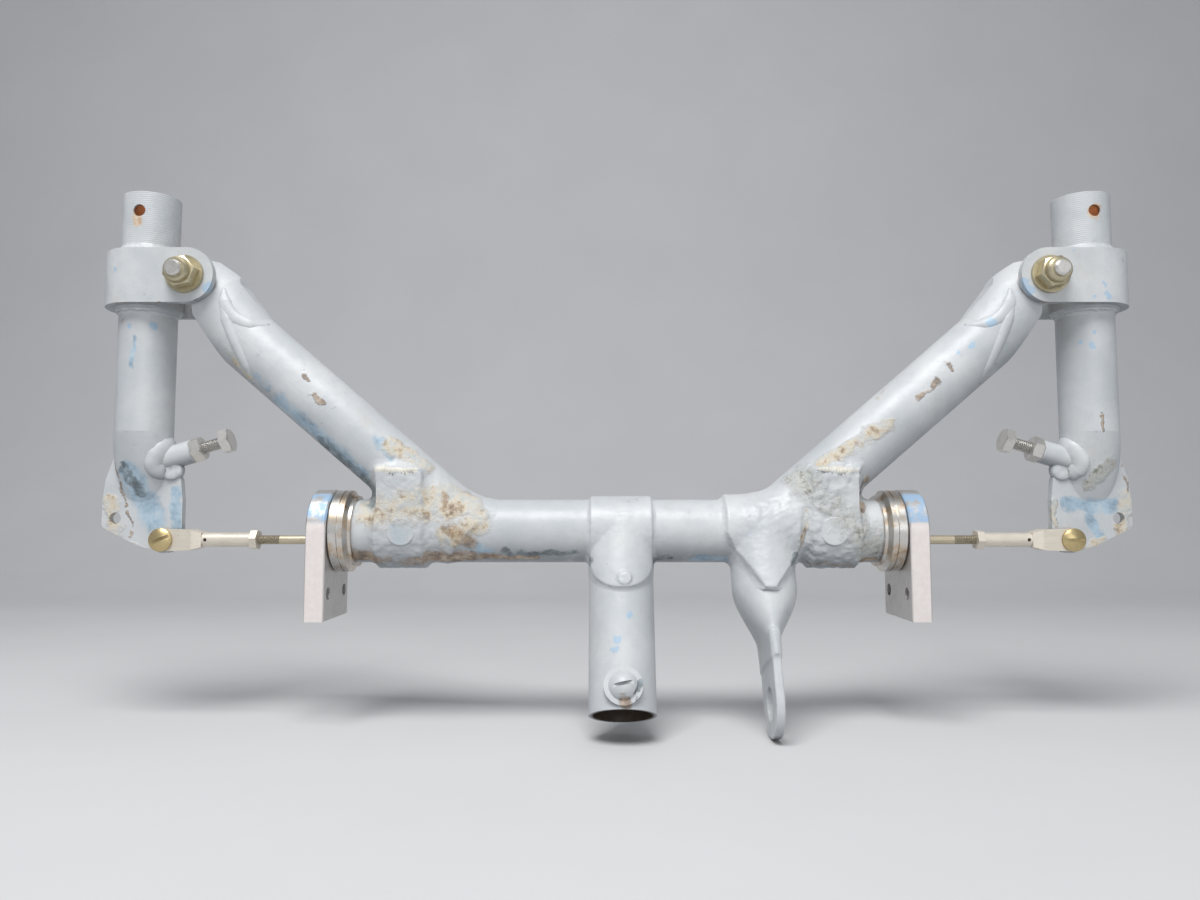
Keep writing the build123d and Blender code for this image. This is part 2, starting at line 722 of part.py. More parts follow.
# Down-tube, tilted to the front and open at its lower end
cross_face = tube_radius + cross_boss_height
with BuildPart() as down_tube:
    with BuildSketch(down_plane(down_tube_x, 0)):
        Circle(tube_radius)
        Circle(tube_bore_radius, mode=Mode.SUBTRACT)
    extrude(amount=down_tube_length)
    with BuildSketch(Plane.YZ):
        Circle(tube_radius)
    extrude(amount=tube_end, both=True, mode=Mode.SUBTRACT)
    with BuildSketch(down_front_plane(down_tube_x, cross_bolt_drop, 0)):
        Circle(cross_bolt_diameter / 2)
    extrude(amount=tube_diameter, both=True, mode=Mode.SUBTRACT)
save(down_tube, "down_tube")

# Boss rings let the cross bolt's head and nut seat flat on the round tube
with BuildPart() as cross_bosses:
    with BuildSketch(down_front_plane(down_tube_x, cross_bolt_drop, -cross_face)):
        Circle(cross_boss_diameter / 2)
        Circle(cross_bolt_diameter / 2, mode=Mode.SUBTRACT)
    extrude(amount=2 * cross_face)
    with BuildSketch(down_plane(down_tube_x, 0)):
        Circle(tube_radius)
    extrude(amount=2 * down_tube_length, mode=Mode.SUBTRACT)
save(cross_bosses, "down_tube_bolt_bosses")

with BuildPart() as cross_bolt:
    cross_tail_face = -cross_face - cross_nut_height - cross_tail
    with BuildSketch(down_front_plane(down_tube_x, cross_bolt_drop, cross_tail_face)):
        Circle(cross_bolt_diameter / 2)
    extrude(amount=2 * cross_face + cross_nut_height + cross_tail)
    cross_dome = (cross_head_height**2 + (cross_head_diameter / 2) ** 2) / (2 * cross_head_height)
    head_origin = Vector(down_tube_x, 0, 0) + down * cross_bolt_drop + front * cross_face
    with BuildSketch(Plane(origin=head_origin, x_dir=(1, 0, 0), z_dir=down)):
        with BuildLine():
            Line((0, 0), (cross_head_diameter / 2, 0))
            RadiusArc((cross_head_diameter / 2, 0), (0, cross_head_height), -cross_dome)
            Line((0, cross_head_height), (0, 0))
        make_face()
    revolve(axis=Axis(head_origin, front))
    slot_out = cross_face + cross_head_height - cross_slot_depth
    with BuildSketch(down_front_plane(down_tube_x, cross_bolt_drop, slot_out)):
        Rectangle(2 * cross_head_diameter, cross_slot_width, rotation=cross_slot_angle)
    extrude(amount=cross_slot_depth, mode=Mode.SUBTRACT)
save(cross_bolt, "down_tube_bolt")

with BuildPart() as cross_nut:
    add(hexagon(down_back_plane(down_tube_x, cross_bolt_drop, cross_face), cross_nut_hex, cross_nut_height))
    with BuildSketch(down_front_plane(down_tube_x, cross_bolt_drop, 0)):
        Circle(cross_bolt_diameter / 2)
    extrude(amount=-2 * cross_face, mode=Mode.SUBTRACT)
save(cross_nut, "down_tube_nut")

# Saddle strap: a curved wrap over the torque tube with a round tongue down the front
with BuildPart() as saddle:
    with BuildSketch(outboard_plane(1, down_tube_x)):
        Circle(tube_radius + saddle_thickness)
    extrude(amount=saddle_width / 2, both=True)
    fillet(saddle.edges().filter_by(GeomType.CIRCLE), saddle_end_rounding)
    with BuildSketch(down_plane(down_tube_x, 0)):
        Circle(tube_radius + saddle_thickness)
    extrude(amount=saddle_tongue_length)
    with BuildSketch(down_front_plane(down_tube_x, 0, 0)):
        with Locations((0, tube_radius)):
            Rectangle(2 * saddle_width, tube_diameter)
        with Locations((0, -saddle_tongue_length + saddle_width / 2)):
            Circle(saddle_width / 2)
        with Locations((0, -(saddle_tongue_length - saddle_width / 2) / 2)):
            Rectangle(saddle_width, saddle_tongue_length - saddle_width / 2)
    extrude(amount=tube_diameter, both=True, mode=Mode.INTERSECT)
    with BuildSketch(Plane.YZ):
        Circle(tube_radius)
    extrude(amount=tube_end, both=True, mode=Mode.SUBTRACT)
    with BuildSketch(down_plane(down_tube_x, 0)):
        Circle(tube_radius)
    extrude(amount=down_tube_length, mode=Mode.SUBTRACT)
save(saddle, "down_tube_saddle")

# Elevator horn: a tube stub squeezed into a flat plate that faces along X
with BuildPart() as horn:
    with BuildSketch(down_plane(horn_x, 0)):
        Circle(tube_radius)
    extrude(amount=horn_squeeze_top)
    with BuildSketch(down_plane(horn_x, horn_squeeze_top)):
        Circle(tube_radius)
    with BuildSketch(down_plane(horn_x, horn_squeeze_middle)):
        Ellipse(horn_middle_thickness / 2, horn_half_width)
    with BuildSketch(down_plane(horn_x, horn_squeeze_bottom)):
        Ellipse(horn_plate_thickness / 2 - squeeze_inset, horn_half_width)
    loft()
    horn_face = Plane(origin=(horn_x, 0, 0), x_dir=front, z_dir=(1, 0, 0))
    shoulder = horn_squeeze_middle + horn_shoulder_drop
    straight = horn_squeeze_bottom - horn_shoulder_drop
    with BuildSketch(horn_face):
        with BuildLine():
            Polyline(
                (-horn_half_width + horn_shoulder_inset, shoulder),
                (-horn_half_width, straight),
                (-horn_half_width, horn_length - horn_half_width),
                (horn_half_width, horn_length - horn_half_width),
                (horn_half_width, straight),
                (horn_half_width - horn_shoulder_inset, shoulder),
                close=True,
            )
        make_face()
        with Locations((0, horn_length - horn_half_width)):
            Circle(horn_half_width)
    extrude(amount=horn_plate_thickness / 2, both=True)
    with BuildSketch(horn_face):
        with Locations((0, horn_hole_drop)):
            Circle(horn_hole_diameter / 2)
    extrude(amount=tube_diameter, both=True, mode=Mode.SUBTRACT)
    with BuildSketch(Plane.YZ):
        Circle(tube_radius)
    extrude(amount=tube_end, both=True, mode=Mode.SUBTRACT)
    add(arms["right"], mode=Mode.SUBTRACT)
save(horn, "elevator_horn")

# Horn saddle: a wrap that runs into the right arm's root, with a pointed tongue down the stub
with BuildPart() as horn_saddle:
    with BuildSketch(outboard_plane(1, horn_x - horn_saddle_inboard)):
        Circle(tube_radius + horn_saddle_thickness)
    extrude(amount=horn_saddle_inboard + horn_saddle_outboard)
    fillet(horn_saddle.edges().filter_by(GeomType.CIRCLE), horn_saddle_thickness / 2)
    with BuildSketch(down_plane(horn_x, 0)):
        Circle(tube_radius + horn_saddle_thickness)
    extrude(amount=horn_tongue_length)
    with BuildSketch(down_front_plane(horn_x, 0, 0)):
        with BuildLine():
            Polyline(
                (-horn_saddle_inboard, tube_diameter),
                (-horn_saddle_inboard, -tube_radius / 2),
                (-horn_tongue_tip / 2, -horn_tongue_length),
                (horn_tongue_tip / 2, -horn_tongue_length),
                (horn_saddle_outboard, -tube_radius),
                (horn_saddle_outboard, tube_diameter),
                close=True,
            )
        make_face()
    extrude(amount=tube_diameter, both=True, mode=Mode.INTERSECT)
    with BuildSketch(Plane.YZ):
        Circle(tube_radius)
    extrude(amount=tube_end, both=True, mode=Mode.SUBTRACT)
    with BuildSketch(arm_plane(1, 0)):
        Circle(arm_radius)
    extrude(amount=arm_length, mode=Mode.SUBTRACT)
    with BuildSketch(down_plane(horn_x, 0)):
        Circle(tube_radius)
    extrude(amount=horn_squeeze_top, mode=Mode.SUBTRACT)
save(horn_saddle, "horn_saddle")
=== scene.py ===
import json
import math
import random

import bpy
import numpy as np
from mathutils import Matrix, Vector, noise
from mathutils.bvhtree import BVHTree


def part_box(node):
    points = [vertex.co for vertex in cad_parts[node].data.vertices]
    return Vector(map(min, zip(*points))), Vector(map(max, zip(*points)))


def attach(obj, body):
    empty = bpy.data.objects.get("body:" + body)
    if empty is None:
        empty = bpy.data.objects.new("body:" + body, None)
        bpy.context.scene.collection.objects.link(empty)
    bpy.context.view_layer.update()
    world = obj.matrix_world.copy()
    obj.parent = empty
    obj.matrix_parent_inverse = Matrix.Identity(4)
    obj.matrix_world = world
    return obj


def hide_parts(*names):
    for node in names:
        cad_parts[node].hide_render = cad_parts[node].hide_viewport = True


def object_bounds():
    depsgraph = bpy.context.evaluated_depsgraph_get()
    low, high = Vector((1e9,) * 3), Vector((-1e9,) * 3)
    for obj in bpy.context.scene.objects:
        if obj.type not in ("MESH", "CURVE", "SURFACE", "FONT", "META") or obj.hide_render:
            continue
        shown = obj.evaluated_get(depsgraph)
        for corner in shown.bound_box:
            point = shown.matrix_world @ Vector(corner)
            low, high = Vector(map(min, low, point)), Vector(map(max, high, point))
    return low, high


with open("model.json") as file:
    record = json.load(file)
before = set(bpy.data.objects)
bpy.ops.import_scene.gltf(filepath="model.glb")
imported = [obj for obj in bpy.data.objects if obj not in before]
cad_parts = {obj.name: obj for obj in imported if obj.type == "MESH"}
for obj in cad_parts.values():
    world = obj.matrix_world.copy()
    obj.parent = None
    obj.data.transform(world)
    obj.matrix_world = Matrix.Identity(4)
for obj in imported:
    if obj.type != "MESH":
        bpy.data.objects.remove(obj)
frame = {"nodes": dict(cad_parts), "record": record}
rest_low, rest_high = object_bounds()
random.seed(7)

MM = 0.001

SIDES = {"left": -1, "right": 1}


def middle_of(node, axis):
    """The middle of a node's box along one axis, in metres."""
    low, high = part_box(node)
    return (low[axis] + high[axis]) / 2


# Sizes taken from the frame
tube_low, tube_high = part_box("torque_tube")
TUBE_RADIUS = (tube_high.z - tube_low.z) / 2
TUBE_END = tube_high.x
DOWN_X = middle_of("down_tube", 0)
HORN_X = middle_of("elevator_horn", 0)
DOWN_TILT = math.radians(23.0)
DOWN = Vector((0, -math.sin(DOWN_TILT), -math.cos(DOWN_TILT)))
FRONT = Vector((0, -math.cos(DOWN_TILT), math.sin(DOWN_TILT)))
ACROSS = Vector((1, 0, 0))
ARM_RISE = math.radians(40.6)
PIVOT = {side: middle_of(f"{side}_arm_bushing", 0) for side in SIDES}
PIVOT_HEIGHT = middle_of("left_arm_bushing", 2)
PIVOT_OFFSET = 4.85 * MM
STICK_X = {side: middle_of(f"{side}_stick_sleeve", 0) for side in SIDES}
STICK_RADIUS = (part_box("left_stick_tube")[1].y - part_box("left_stick_tube")[0].y) / 2
STOP_RISE = math.radians(17.0)


class Graph:
    """A material's node tree, built from short calls. Places are in the row frame, in metres."""

    def __init__(self, name):
        self.material = bpy.data.materials.new(name)
        self.material.use_nodes = True
        self.tree = self.material.node_tree
        self.tree.nodes.clear()
        self.output = self.add("ShaderNodeOutputMaterial")
        where = self.add("ShaderNodeTexCoord")
        self.place = where.outputs["Object"]
        self.facing = where.outputs["Normal"]

    def add(self, kind, **settings):
        """A new node with the given settings."""
        node = self.tree.nodes.new(kind)
        for key, value in settings.items():
            setattr(node, key, value)
        return node

    def feed(self, socket, value):
        """Link another node's output to a socket, or set the socket to a plain value."""
        if isinstance(value, bpy.types.NodeSocket):
            self.tree.links.new(value, socket)
        else:
            socket.default_value = value

    def maths(self, operation, a, b=0.0):
        node = self.add("ShaderNodeMath", operation=operation)
        self.feed(node.inputs[0], a)
        self.feed(node.inputs[1], b)
        return node.outputs[0]

    def vector(self, operation, a, b=(0, 0, 0), scale=None):
        node = self.add("ShaderNodeVectorMath", operation=operation)
        self.feed(node.inputs[0], a)
        self.feed(node.inputs[1], b)
        if scale is not None:
            self.feed(node.inputs["Scale"], scale)
        return node.outputs["Value" if operation in ("LENGTH", "DISTANCE", "DOT_PRODUCT") else "Vector"]

    def noise(self, size, detail=4.0, roughness=0.55, stretch=(1, 1, 1), shift=0.0):
        """Noise whose features are about the given size in metres."""
        moved = self.vector("ADD", self.place, (shift, shift * 0.7, shift * 0.3))
        scaled = self.vector("MULTIPLY", moved, stretch)
        node = self.add("ShaderNodeTexNoise")
        self.feed(node.inputs["Vector"], scaled)
        self.feed(node.inputs["Scale"], 1 / size)
        self.feed(node.inputs["Detail"], detail)
        self.feed(node.inputs["Roughness"], roughness)
        return node.outputs["Fac"]

    def ramp(self, value, low, high):
        """0 at or under low, 1 at or over high, smooth between; low may be over high."""
        node = self.add("ShaderNodeMapRange", interpolation_type="SMOOTHSTEP")
        self.feed(node.inputs["Value"], value)
        self.feed(node.inputs["From Min"], low)
        self.feed(node.inputs["From Max"], high)
        return node.outputs["Result"]

    def mix(self, amount, under, over):
        """The colour under where the amount is 0 and the colour over where it is 1."""
        node = self.add("ShaderNodeMix", data_type="RGBA")
        # The node has a set of sockets per kind of data, and these are the ones for colours
        colour_a, colour_b, colour_out = 6, 7, 2
        self.feed(node.inputs[0], amount)
        self.feed(node.inputs[colour_a], under)
        self.feed(node.inputs[colour_b], over)
        return node.outputs[colour_out]

    def layer(self, under, mask, share, over):
        """A second colour laid over the first where the mask is, at most to the given share."""
        return self.mix(self.maths("MULTIPLY", mask, share), under, over)

    def either(self, masks):
        """The strongest of several masks."""
        result = masks[0]
        for mask in masks[1:]:
            result = self.maths("MAXIMUM", result, mask)
        return result

    def ragged(self, amount, size):
        """The place, pushed about by noise, so that masks made from it have ragged edges."""
        node = self.add("ShaderNodeTexNoise")
        self.feed(node.inputs["Vector"], self.place)
        self.feed(node.inputs["Scale"], 1 / size)
        self.feed(node.inputs["Detail"], 5.0)
        centred = self.vector("SUBTRACT", node.outputs["Color"], (0.5, 0.5, 0.5))
        pushed = self.vector("SCALE", centred, scale=2 * amount)
        return self.vector("ADD", self.place, pushed)

    def streak(self, place, start, end, radius, softness=0.35):
        """1 within radius of the line from start to end (in mm), falling to 0 outside it."""
        a, b = Vector(start) * MM, Vector(end) * MM
        span = b - a
        offset = self.vector("SUBTRACT", place, tuple(a))
        run = self.vector("DOT_PRODUCT", offset, tuple(span))
        along = self.maths("DIVIDE", run, max(span.length_squared, 1e-9))
        held = self.add("ShaderNodeClamp")
        self.feed(held.inputs["Value"], along)
        nearest = self.vector("SCALE", tuple(span), scale=held.outputs[0])
        distance = self.vector("LENGTH", self.vector("SUBTRACT", offset, nearest))
        return self.ramp(distance, radius * MM, radius * MM * (1 - softness))

    def spot(self, place, centre, radius):
        """1 near a point (in mm), falling to 0 at the radius."""
        distance = self.vector("DISTANCE", place, tuple(Vector(centre) * MM))
        return self.ramp(distance, radius * MM, 0.5 * radius * MM)

    def split(self, vector):
        """The vector's parts, under the names X, Y and Z."""
        node = self.add("ShaderNodeSeparateXYZ")
        self.feed(node.inputs[0], vector)
        return node.outputs

    def crevices(self, reach, low, high):
        """1 deep in corners and gaps, 0 on open faces, read from ambient occlusion, so it follows where
        shade falls.
        """
        node = self.add("ShaderNodeAmbientOcclusion", samples=6)
        self.feed(node.inputs["Distance"], reach)
        return self.ramp(node.outputs["AO"], high, low)

    def bump(self, height, distance, strength=1.0, under=None):
        """A normal bent by a height, on top of another bump if one is given."""
        node = self.add("ShaderNodeBump")
        self.feed(node.inputs["Height"], height)
        self.feed(node.inputs["Distance"], distance)
        self.feed(node.inputs["Strength"], strength)
        if under is not None:
            self.feed(node.inputs["Normal"], under)
        return node.outputs["Normal"]

    def surface(self, colour, metallic, roughness, normal):
        """Close the tree with one shader and give back the material."""
        shader = self.add("ShaderNodeBsdfPrincipled")
        self.feed(shader.inputs["Base Color"], colour)
        self.feed(shader.inputs["Metallic"], metallic)
        self.feed(shader.inputs["Roughness"], roughness)
        self.feed(shader.inputs["Normal"], normal)
        self.feed(self.output.inputs["Surface"], shader.outputs[0])
        return self.material


def linear(red, green, blue):
    """A display colour, 0 to 255, as the linear colour that shaders take."""
    channels = []
    for value in (red, green, blue):
        v = value / 255
        channels.append(v / 12.92 if v <= 0.04045 else ((v + 0.055) / 1.055) ** 2.4)
    return (*channels, 1.0)


# Places of wear on the paint, and of painted shade, in mm in the row frame: start, end, radius
BLUE_WEAR = (
    ((-136, -10, 50), (-104, -11, 22), 8),
    ((-150, -8, 68), (-140, -8, 58), 4),
    ((-94, -13, 36), (-90, -13, 31), 5),
    ((-58, -11, -6), (-50, -12, -9), 4),
    ((-194.5, -11, 78), (-194.5, -11, 66), 2),
    ((-197, -4, 24), (-189, -2, 4), 8),
    ((-180, -2, 16), (-179, -2, 2), 4),
    ((183, -2, 11), (202, -2, 10), 5),
    ((192, -2, 5), (196, -2, -2), 4),
    ((28, -6, -10), (44, -6, -11), 3),
)
SKY_FLECKS = (
    ((-162.3, -16, 96.7), 2.2),
    ((-186.9, -9, 83.3), 1.8),
    ((-195.9, -11, 82.7), 1.6),
    ((-200, -14, 104), 1.2),
    ((186.6, -14, 93.4), 2.4),
    ((189.6, -15, 92.8), 2.0),
    ((194.7, -15, 93.8), 2.2),
    ((193.7, -15, 97.8), 1.8),
    ((181.9, -14, 111.9), 2.2),
    ((162.6, -16, 98.8), 2.0),
    ((164.2, -16, 95.8), 2.4),
    ((182.6, -8, 73.5), 2.0),
    ((186.5, -9, 76), 1.4),
    ((191.1, -11, 80), 1.3),
    ((191.3, -11, 74), 1.4),
    ((152.4, -13, 96.4), 2.4),
    ((149.8, -13, 89.2), 2.0),
    ((145, -13, 88.2), 1.5),
    ((149.8, -13, 83.3), 2.0),
    ((141.5, -13, 74), 2.2),
    ((136.7, -13, 72), 2.0),
    ((3.8, -27, -31), 1.9),
    ((-0.8, -31, -39), 2.0),
    ((-1.4, -32, -43), 1.5),
    ((-197.6, -11, 101), 1.2),
)
CREAM_WEAR = (
    ((-96, -9, 8), (-62, -12, 12), 13),
    ((-90, -11, 34), (-74, -11, 28), 7),
    ((-66, -12, -2), (-54, -12, 4), 8),
    ((-106, -9, 42), (-112, -9, 48), 4),
    ((-160, -8, 84), (-149, -8, 62), 4),
    ((82, -11, 27), (108, -10, 42), 5),
    ((104, -6, 55), (118, -6, 68), 3),
    ((124, -10, 52), (148, -8, 70), 3),
    ((74, -12, 8), (70, -18, -20), 2.5),
    ((63, -30, -20), (64, -34, -42), 3),
    ((-206, -2, 12), (-204, -2, 0), 5),
    ((-200, -2, -4), (-192, -2, -8), 2.5),
    ((207, -2, 14), (205, -2, 0), 5),
    ((198, -2, -4), (190, -2, -7), 2.5),
    ((178, -2, 12), (178, -2, 0), 2),
    ((160, -10, 108), (164, -12, 110), 2.5),
)
# Rust and brown wear. The rows along the torque tube's underside and the row below the cross-bolt head are
# partly painted shade
BROWN_WEAR_AND_SHADE = (
    ((-104, -7, -9), (-58, -8, -10), 6),
    ((-54, -8, -10), (-32, -8, -11), 3),
    ((-66, -12, 2), (-58, -12, -5), 5),
    ((-70, -12, 22), (-68, -12, 10), 2.5),
    ((78, -6, -11), (102, -6, -11), 4),
    ((100, -8, 20), (97, -10, 8), 3),
    ((73, -12, 6), (72, -14, -12), 1.8),
    ((-122, -12, 54.2), (-119, -12, 51.5), 2.6),
    ((-124.5, -12, 61.5), (-124, -12, 61), 1.7),
    ((-139, -6, 86), (-136, -6, 84), 2),
    ((-160.5, -16, 104), (-160.5, -16, 94), 1.2),
    ((-161, -16, 93), (-168, -16, 91), 1.3),
    ((134.7, -12, 64.2), (133, -12, 66.5), 1.8),
    ((128, -12, 60), (120, -12, 53), 2.2),
    ((152.5, -8, 67), (159.6, -8, 80), 2),
    ((158.6, -16, 97), (161.5, -16, 108.5), 1),
    ((174, -15, 112.8), (186, -15, 112.8), 1),
    ((166, -15, 91), (196, -14, 90.8), 0.9),
    ((-182, -15, 91), (-200, -14, 90.8), 0.8),
    ((193.5, -11, 47), (193.5, -11, 36), 1),
    ((206, -2, 27), (209, -2, 13), 1),
    ((-203.5, -4, 27), (-199.5, -2, 11), 1.2),
    ((-199, -2, 8), (-197, -2, -2), 1.1),
    ((1.5, -40, -58.5), (2.8, -41, -62.5), 3),
)
# Dark patches: partly wear, partly painted shade on the undersides of the arm and torque tube, in the
# pressed hollow and beside the cross-bolt head
DARK_WEAR_AND_SHADE = (
    ((-118, -7, 34), (-96, -7, 12), 7),
    ((-44, -10, -9), (-16, -10, -10), 3),
    ((64, -16, -14), (70, -14, -10), 3),
    ((-12, -10, -10), (-8, -12, -12), 3),
    ((8, -8, -12), (20, -8, -12), 4),
    ((98, -8, 24), (96, -8, 16), 3),
    ((-199, -7, 25), (-193, -4, 15), 4),
    ((-8, -37, -54), (-4, -41, -61), 1.5),
    ((6, -42, -61), (8, -38, -53), 1.5),
)
PITTED = (((76, -8, 18), (98, -8, -4), 13), ((198, -7, 27), (190, -5, 18), 5))
HOLE_STAINS = (((-194.2, -11, 130), (-194.4, -11, 126), 3.4), ((194.2, -11, 130), (194.2, -11, 129), 4.0))
WELD_DISC = (((-85, -14.5, -1), (-85, -14.5, 1), 5.6),)
WELD_RIDGES = (((-94, -15, 24.5), (-80, -15, 24.5), 2.2), ((80, -15, 24.5), (94, -15, 24.5), 2.0))
BORES = (
    ((-194.2, 0, 46), (-194.2, 0, 142), 10.4),
    ((194.2, 0, 46), (194.2, 0, 142), 10.4),
)
# The inside of the down-tube, which is painted near to black as painted shade
DOWN_BORE_SHADE = (((1.5, -5, -12), (1.5, -29.2, -68.8), 11.9),)


def mottle(g, size, shift, colours):
    """Several colours run into one another like old layers of paint."""
    # The part of the noise's range over which the colours are spread
    first, span = 0.32, 0.36
    node = g.add("ShaderNodeValToRGB")
    ramp = node.color_ramp
    while len(ramp.elements) < len(colours):
        ramp.elements.new(0.5)
    for i, (element, colour) in enumerate(zip(ramp.elements, colours)):
        element.position = first + span * i / (len(colours) - 1)
        element.color = linear(*colour)
    g.feed(node.inputs[0], g.noise(size, 8.0, 0.72, shift=shift))
    return node.outputs["Color"]


def pale_paint():
    """Hand-brushed pale grey paint over older blue paint, primer and rust."""
    g = Graph("pale_paint")
    place = g.ragged(3.0 * MM, 6 * MM)
    broad = g.noise(30 * MM, 5.0)
    patch = g.noise(8 * MM, 7.0, 0.66, shift=0.31)
    fleck = g.noise(2.2 * MM, 6.0, 0.66, shift=0.77)
    grain = g.noise(0.7 * MM, 4.0, 0.6, shift=1.3)

    colour = g.mix(g.ramp(broad, 0.3, 0.7), linear(178, 182, 185), linear(196, 198, 199))
    colour = g.layer(colour, g.ramp(patch, 0.45, 0.75), 0.4, linear(164, 172, 178))
    smudges = g.ramp(g.noise(14 * MM, 6.0, 0.7, stretch=(1, 1, 0.5), shift=4.4), 0.55, 0.75)
    colour = g.layer(colour, smudges, 0.35, linear(178, 170, 158))

    def wear_and_shade_mask(places, soft=0.34):
        """Where one kind of mark shows, wear and painted shade alike: whole in the middle of its places and
        broken up at their edges.
        """
        cut = 0.8
        near = g.either([g.streak(place, a, b, r * 1.35, 0.85) for a, b, r in places])
        broken = g.maths("ADD", g.maths("MULTIPLY", near, 0.7), g.maths("MULTIPLY", patch, 0.55))
        broken = g.maths("ADD", broken, g.maths("MULTIPLY", fleck, 0.35))
        return g.ramp(broken, cut, cut + soft)

    def within(places, spare=0.3):
        """A mask with an even edge, for holes and discs."""
        return g.either([g.streak(g.place, a, b, r, spare / r) for a, b, r in places])

    # Painted shade: faces that point down are darkened to a cool grey, broken up by the patch noise
    shade = g.maths("MULTIPLY", g.ramp(g.split(g.facing)["Z"], -0.3, -0.9), g.ramp(patch, 0.15, 0.5))
    colour = g.layer(colour, shade, 0.6, linear(92, 102, 112))

    blues = mottle(g, 7 * MM, 0.2, ((104, 126, 140), (134, 158, 176), (158, 182, 198), (184, 194, 200)))
    colour = g.layer(colour, wear_and_shade_mask(BLUE_WEAR), 0.85, blues)
    near = g.either([g.spot(place, centre, radius * 1.3) for centre, radius in SKY_FLECKS])
    flecks = g.ramp(g.maths("ADD", near, g.maths("MULTIPLY", fleck, 0.6)), 0.8, 1.2)
    colour = g.layer(colour, flecks, 0.6, linear(140, 176, 204))
    creams = mottle(
        g, 6 * MM, 0.9,
        ((96, 80, 62), (162, 142, 116), (200, 188, 166), (194, 191, 182), (176, 181, 182), (210, 202, 184)),
    )
    cream = wear_and_shade_mask(CREAM_WEAR)
    colour = g.layer(colour, cream, 0.9, creams)
    greys = mottle(
        g, 4 * MM, 1.9,
        ((70, 68, 60), (142, 140, 130), (186, 186, 180), (160, 166, 166), (204, 200, 190)),
    )
    pitted = wear_and_shade_mask(PITTED)
    colour = g.layer(colour, pitted, 0.9, greys)
    browns = mottle(
        g, 4.5 * MM, 2.9,
        ((52, 42, 32), (104, 80, 56), (146, 118, 86), (182, 162, 136), (200, 190, 176)),
    )
    # Brown wear, partly painted shade along the torque tube's underside and under the cross-bolt head
    brown = wear_and_shade_mask(BROWN_WEAR_AND_SHADE)
    colour = g.layer(colour, brown, 0.72, browns)
    # Dark wear mixed with painted shade on undersides and in hollows
    darks = mottle(g, 3.5 * MM, 3.7, ((52, 56, 54), (84, 92, 94), (120, 132, 140), (160, 172, 180)))
    dark = wear_and_shade_mask(DARK_WEAR_AND_SHADE)
    colour = g.layer(colour, dark, 0.8, darks)
    stains = mottle(g, 3 * MM, 6.1, ((130, 86, 48), (172, 132, 92), (202, 180, 150), (208, 198, 182)))
    colour = g.layer(colour, wear_and_shade_mask(HOLE_STAINS, 0.3), 0.8, stains)
    disc = g.maths("MULTIPLY", within(WELD_DISC, 2.5), g.ramp(patch, 0.35, 0.6))
    bare_weld = g.mix(fleck, linear(134, 150, 162), linear(176, 188, 194))
    colour = g.layer(colour, disc, 0.55, bare_weld)
    colour = g.layer(colour, wear_and_shade_mask(WELD_RIDGES), 0.7, linear(212, 206, 190))

    mixed = g.maths("ADD", g.maths("MULTIPLY", patch, 0.6), g.maths("MULTIPLY", fleck, 0.4))
    chips = g.ramp(mixed, 0.63, 0.66)
    chip_colour = g.mix(g.ramp(broad, 0.42, 0.5), linear(150, 186, 216), linear(168, 146, 134))
    colour = g.layer(colour, chips, 0.75, chip_colour)
    specks = g.ramp(g.noise(1.1 * MM, 3.0, 0.5, shift=2.1), 0.71, 0.76)
    colour = g.layer(colour, specks, 0.55, linear(104, 92, 82))

    rusty = g.mix(fleck, linear(104, 58, 32), linear(190, 116, 64))
    colour = g.mix(within(BORES), colour, rusty)
    # Painted shade: the inside of the down-tube is darkened to brown-black
    colour = g.mix(within(DOWN_BORE_SHADE), colour, g.mix(fleck, linear(30, 27, 24), linear(84, 72, 58)))

    # Painted shade: corners and gaps darkened to a brown grime tone, from ambient occlusion
    crevice_grime_and_shade = g.maths("MULTIPLY", g.crevices(4 * MM, 0.15, 0.6), g.ramp(patch, 0.25, 0.6))
    colour = g.layer(colour, crevice_grime_and_shade, 0.8, linear(84, 74, 64))

    worn = g.either([cream, pitted, brown, dark])
    rough = g.maths("ADD", g.maths("MULTIPLY", patch, 0.22), 0.3)
    rough = g.maths("ADD", rough, g.maths("MULTIPLY", worn, 0.25))
    height = g.maths("ADD", g.maths("MULTIPLY", fleck, 0.5), g.maths("MULTIPLY", grain, 0.2))
    height = g.maths("SUBTRACT", height, g.maths("MULTIPLY", chips, 0.3))
    turned = g.add("ShaderNodeTexWave", wave_type="BANDS", bands_direction="Z")
    g.feed(turned.inputs["Vector"], g.place)
    g.feed(turned.inputs["Scale"], 380.0)
    g.feed(turned.inputs["Distortion"], 0.6)
    stick_tops = g.ramp(g.split(g.place)["Z"], 114 * MM, 115 * MM)
    lines = g.maths("MULTIPLY", turned.outputs["Fac"], stick_tops)
    height = g.maths("ADD", height, g.maths("MULTIPLY", lines, 0.4))
    rugged = g.maths("MULTIPLY", worn, g.noise(3.2 * MM, 6.0, 0.7, shift=5.1))
    swell = g.bump(g.noise(6 * MM, 3.0, 0.5, shift=0.9), 0.4 * MM, 0.5)
    swell = g.bump(rugged, 0.9 * MM, 0.8, swell)
    normal = g.bump(height, 0.18 * MM, 0.6, swell)
    return g.surface(colour, 0.0, rough, normal)


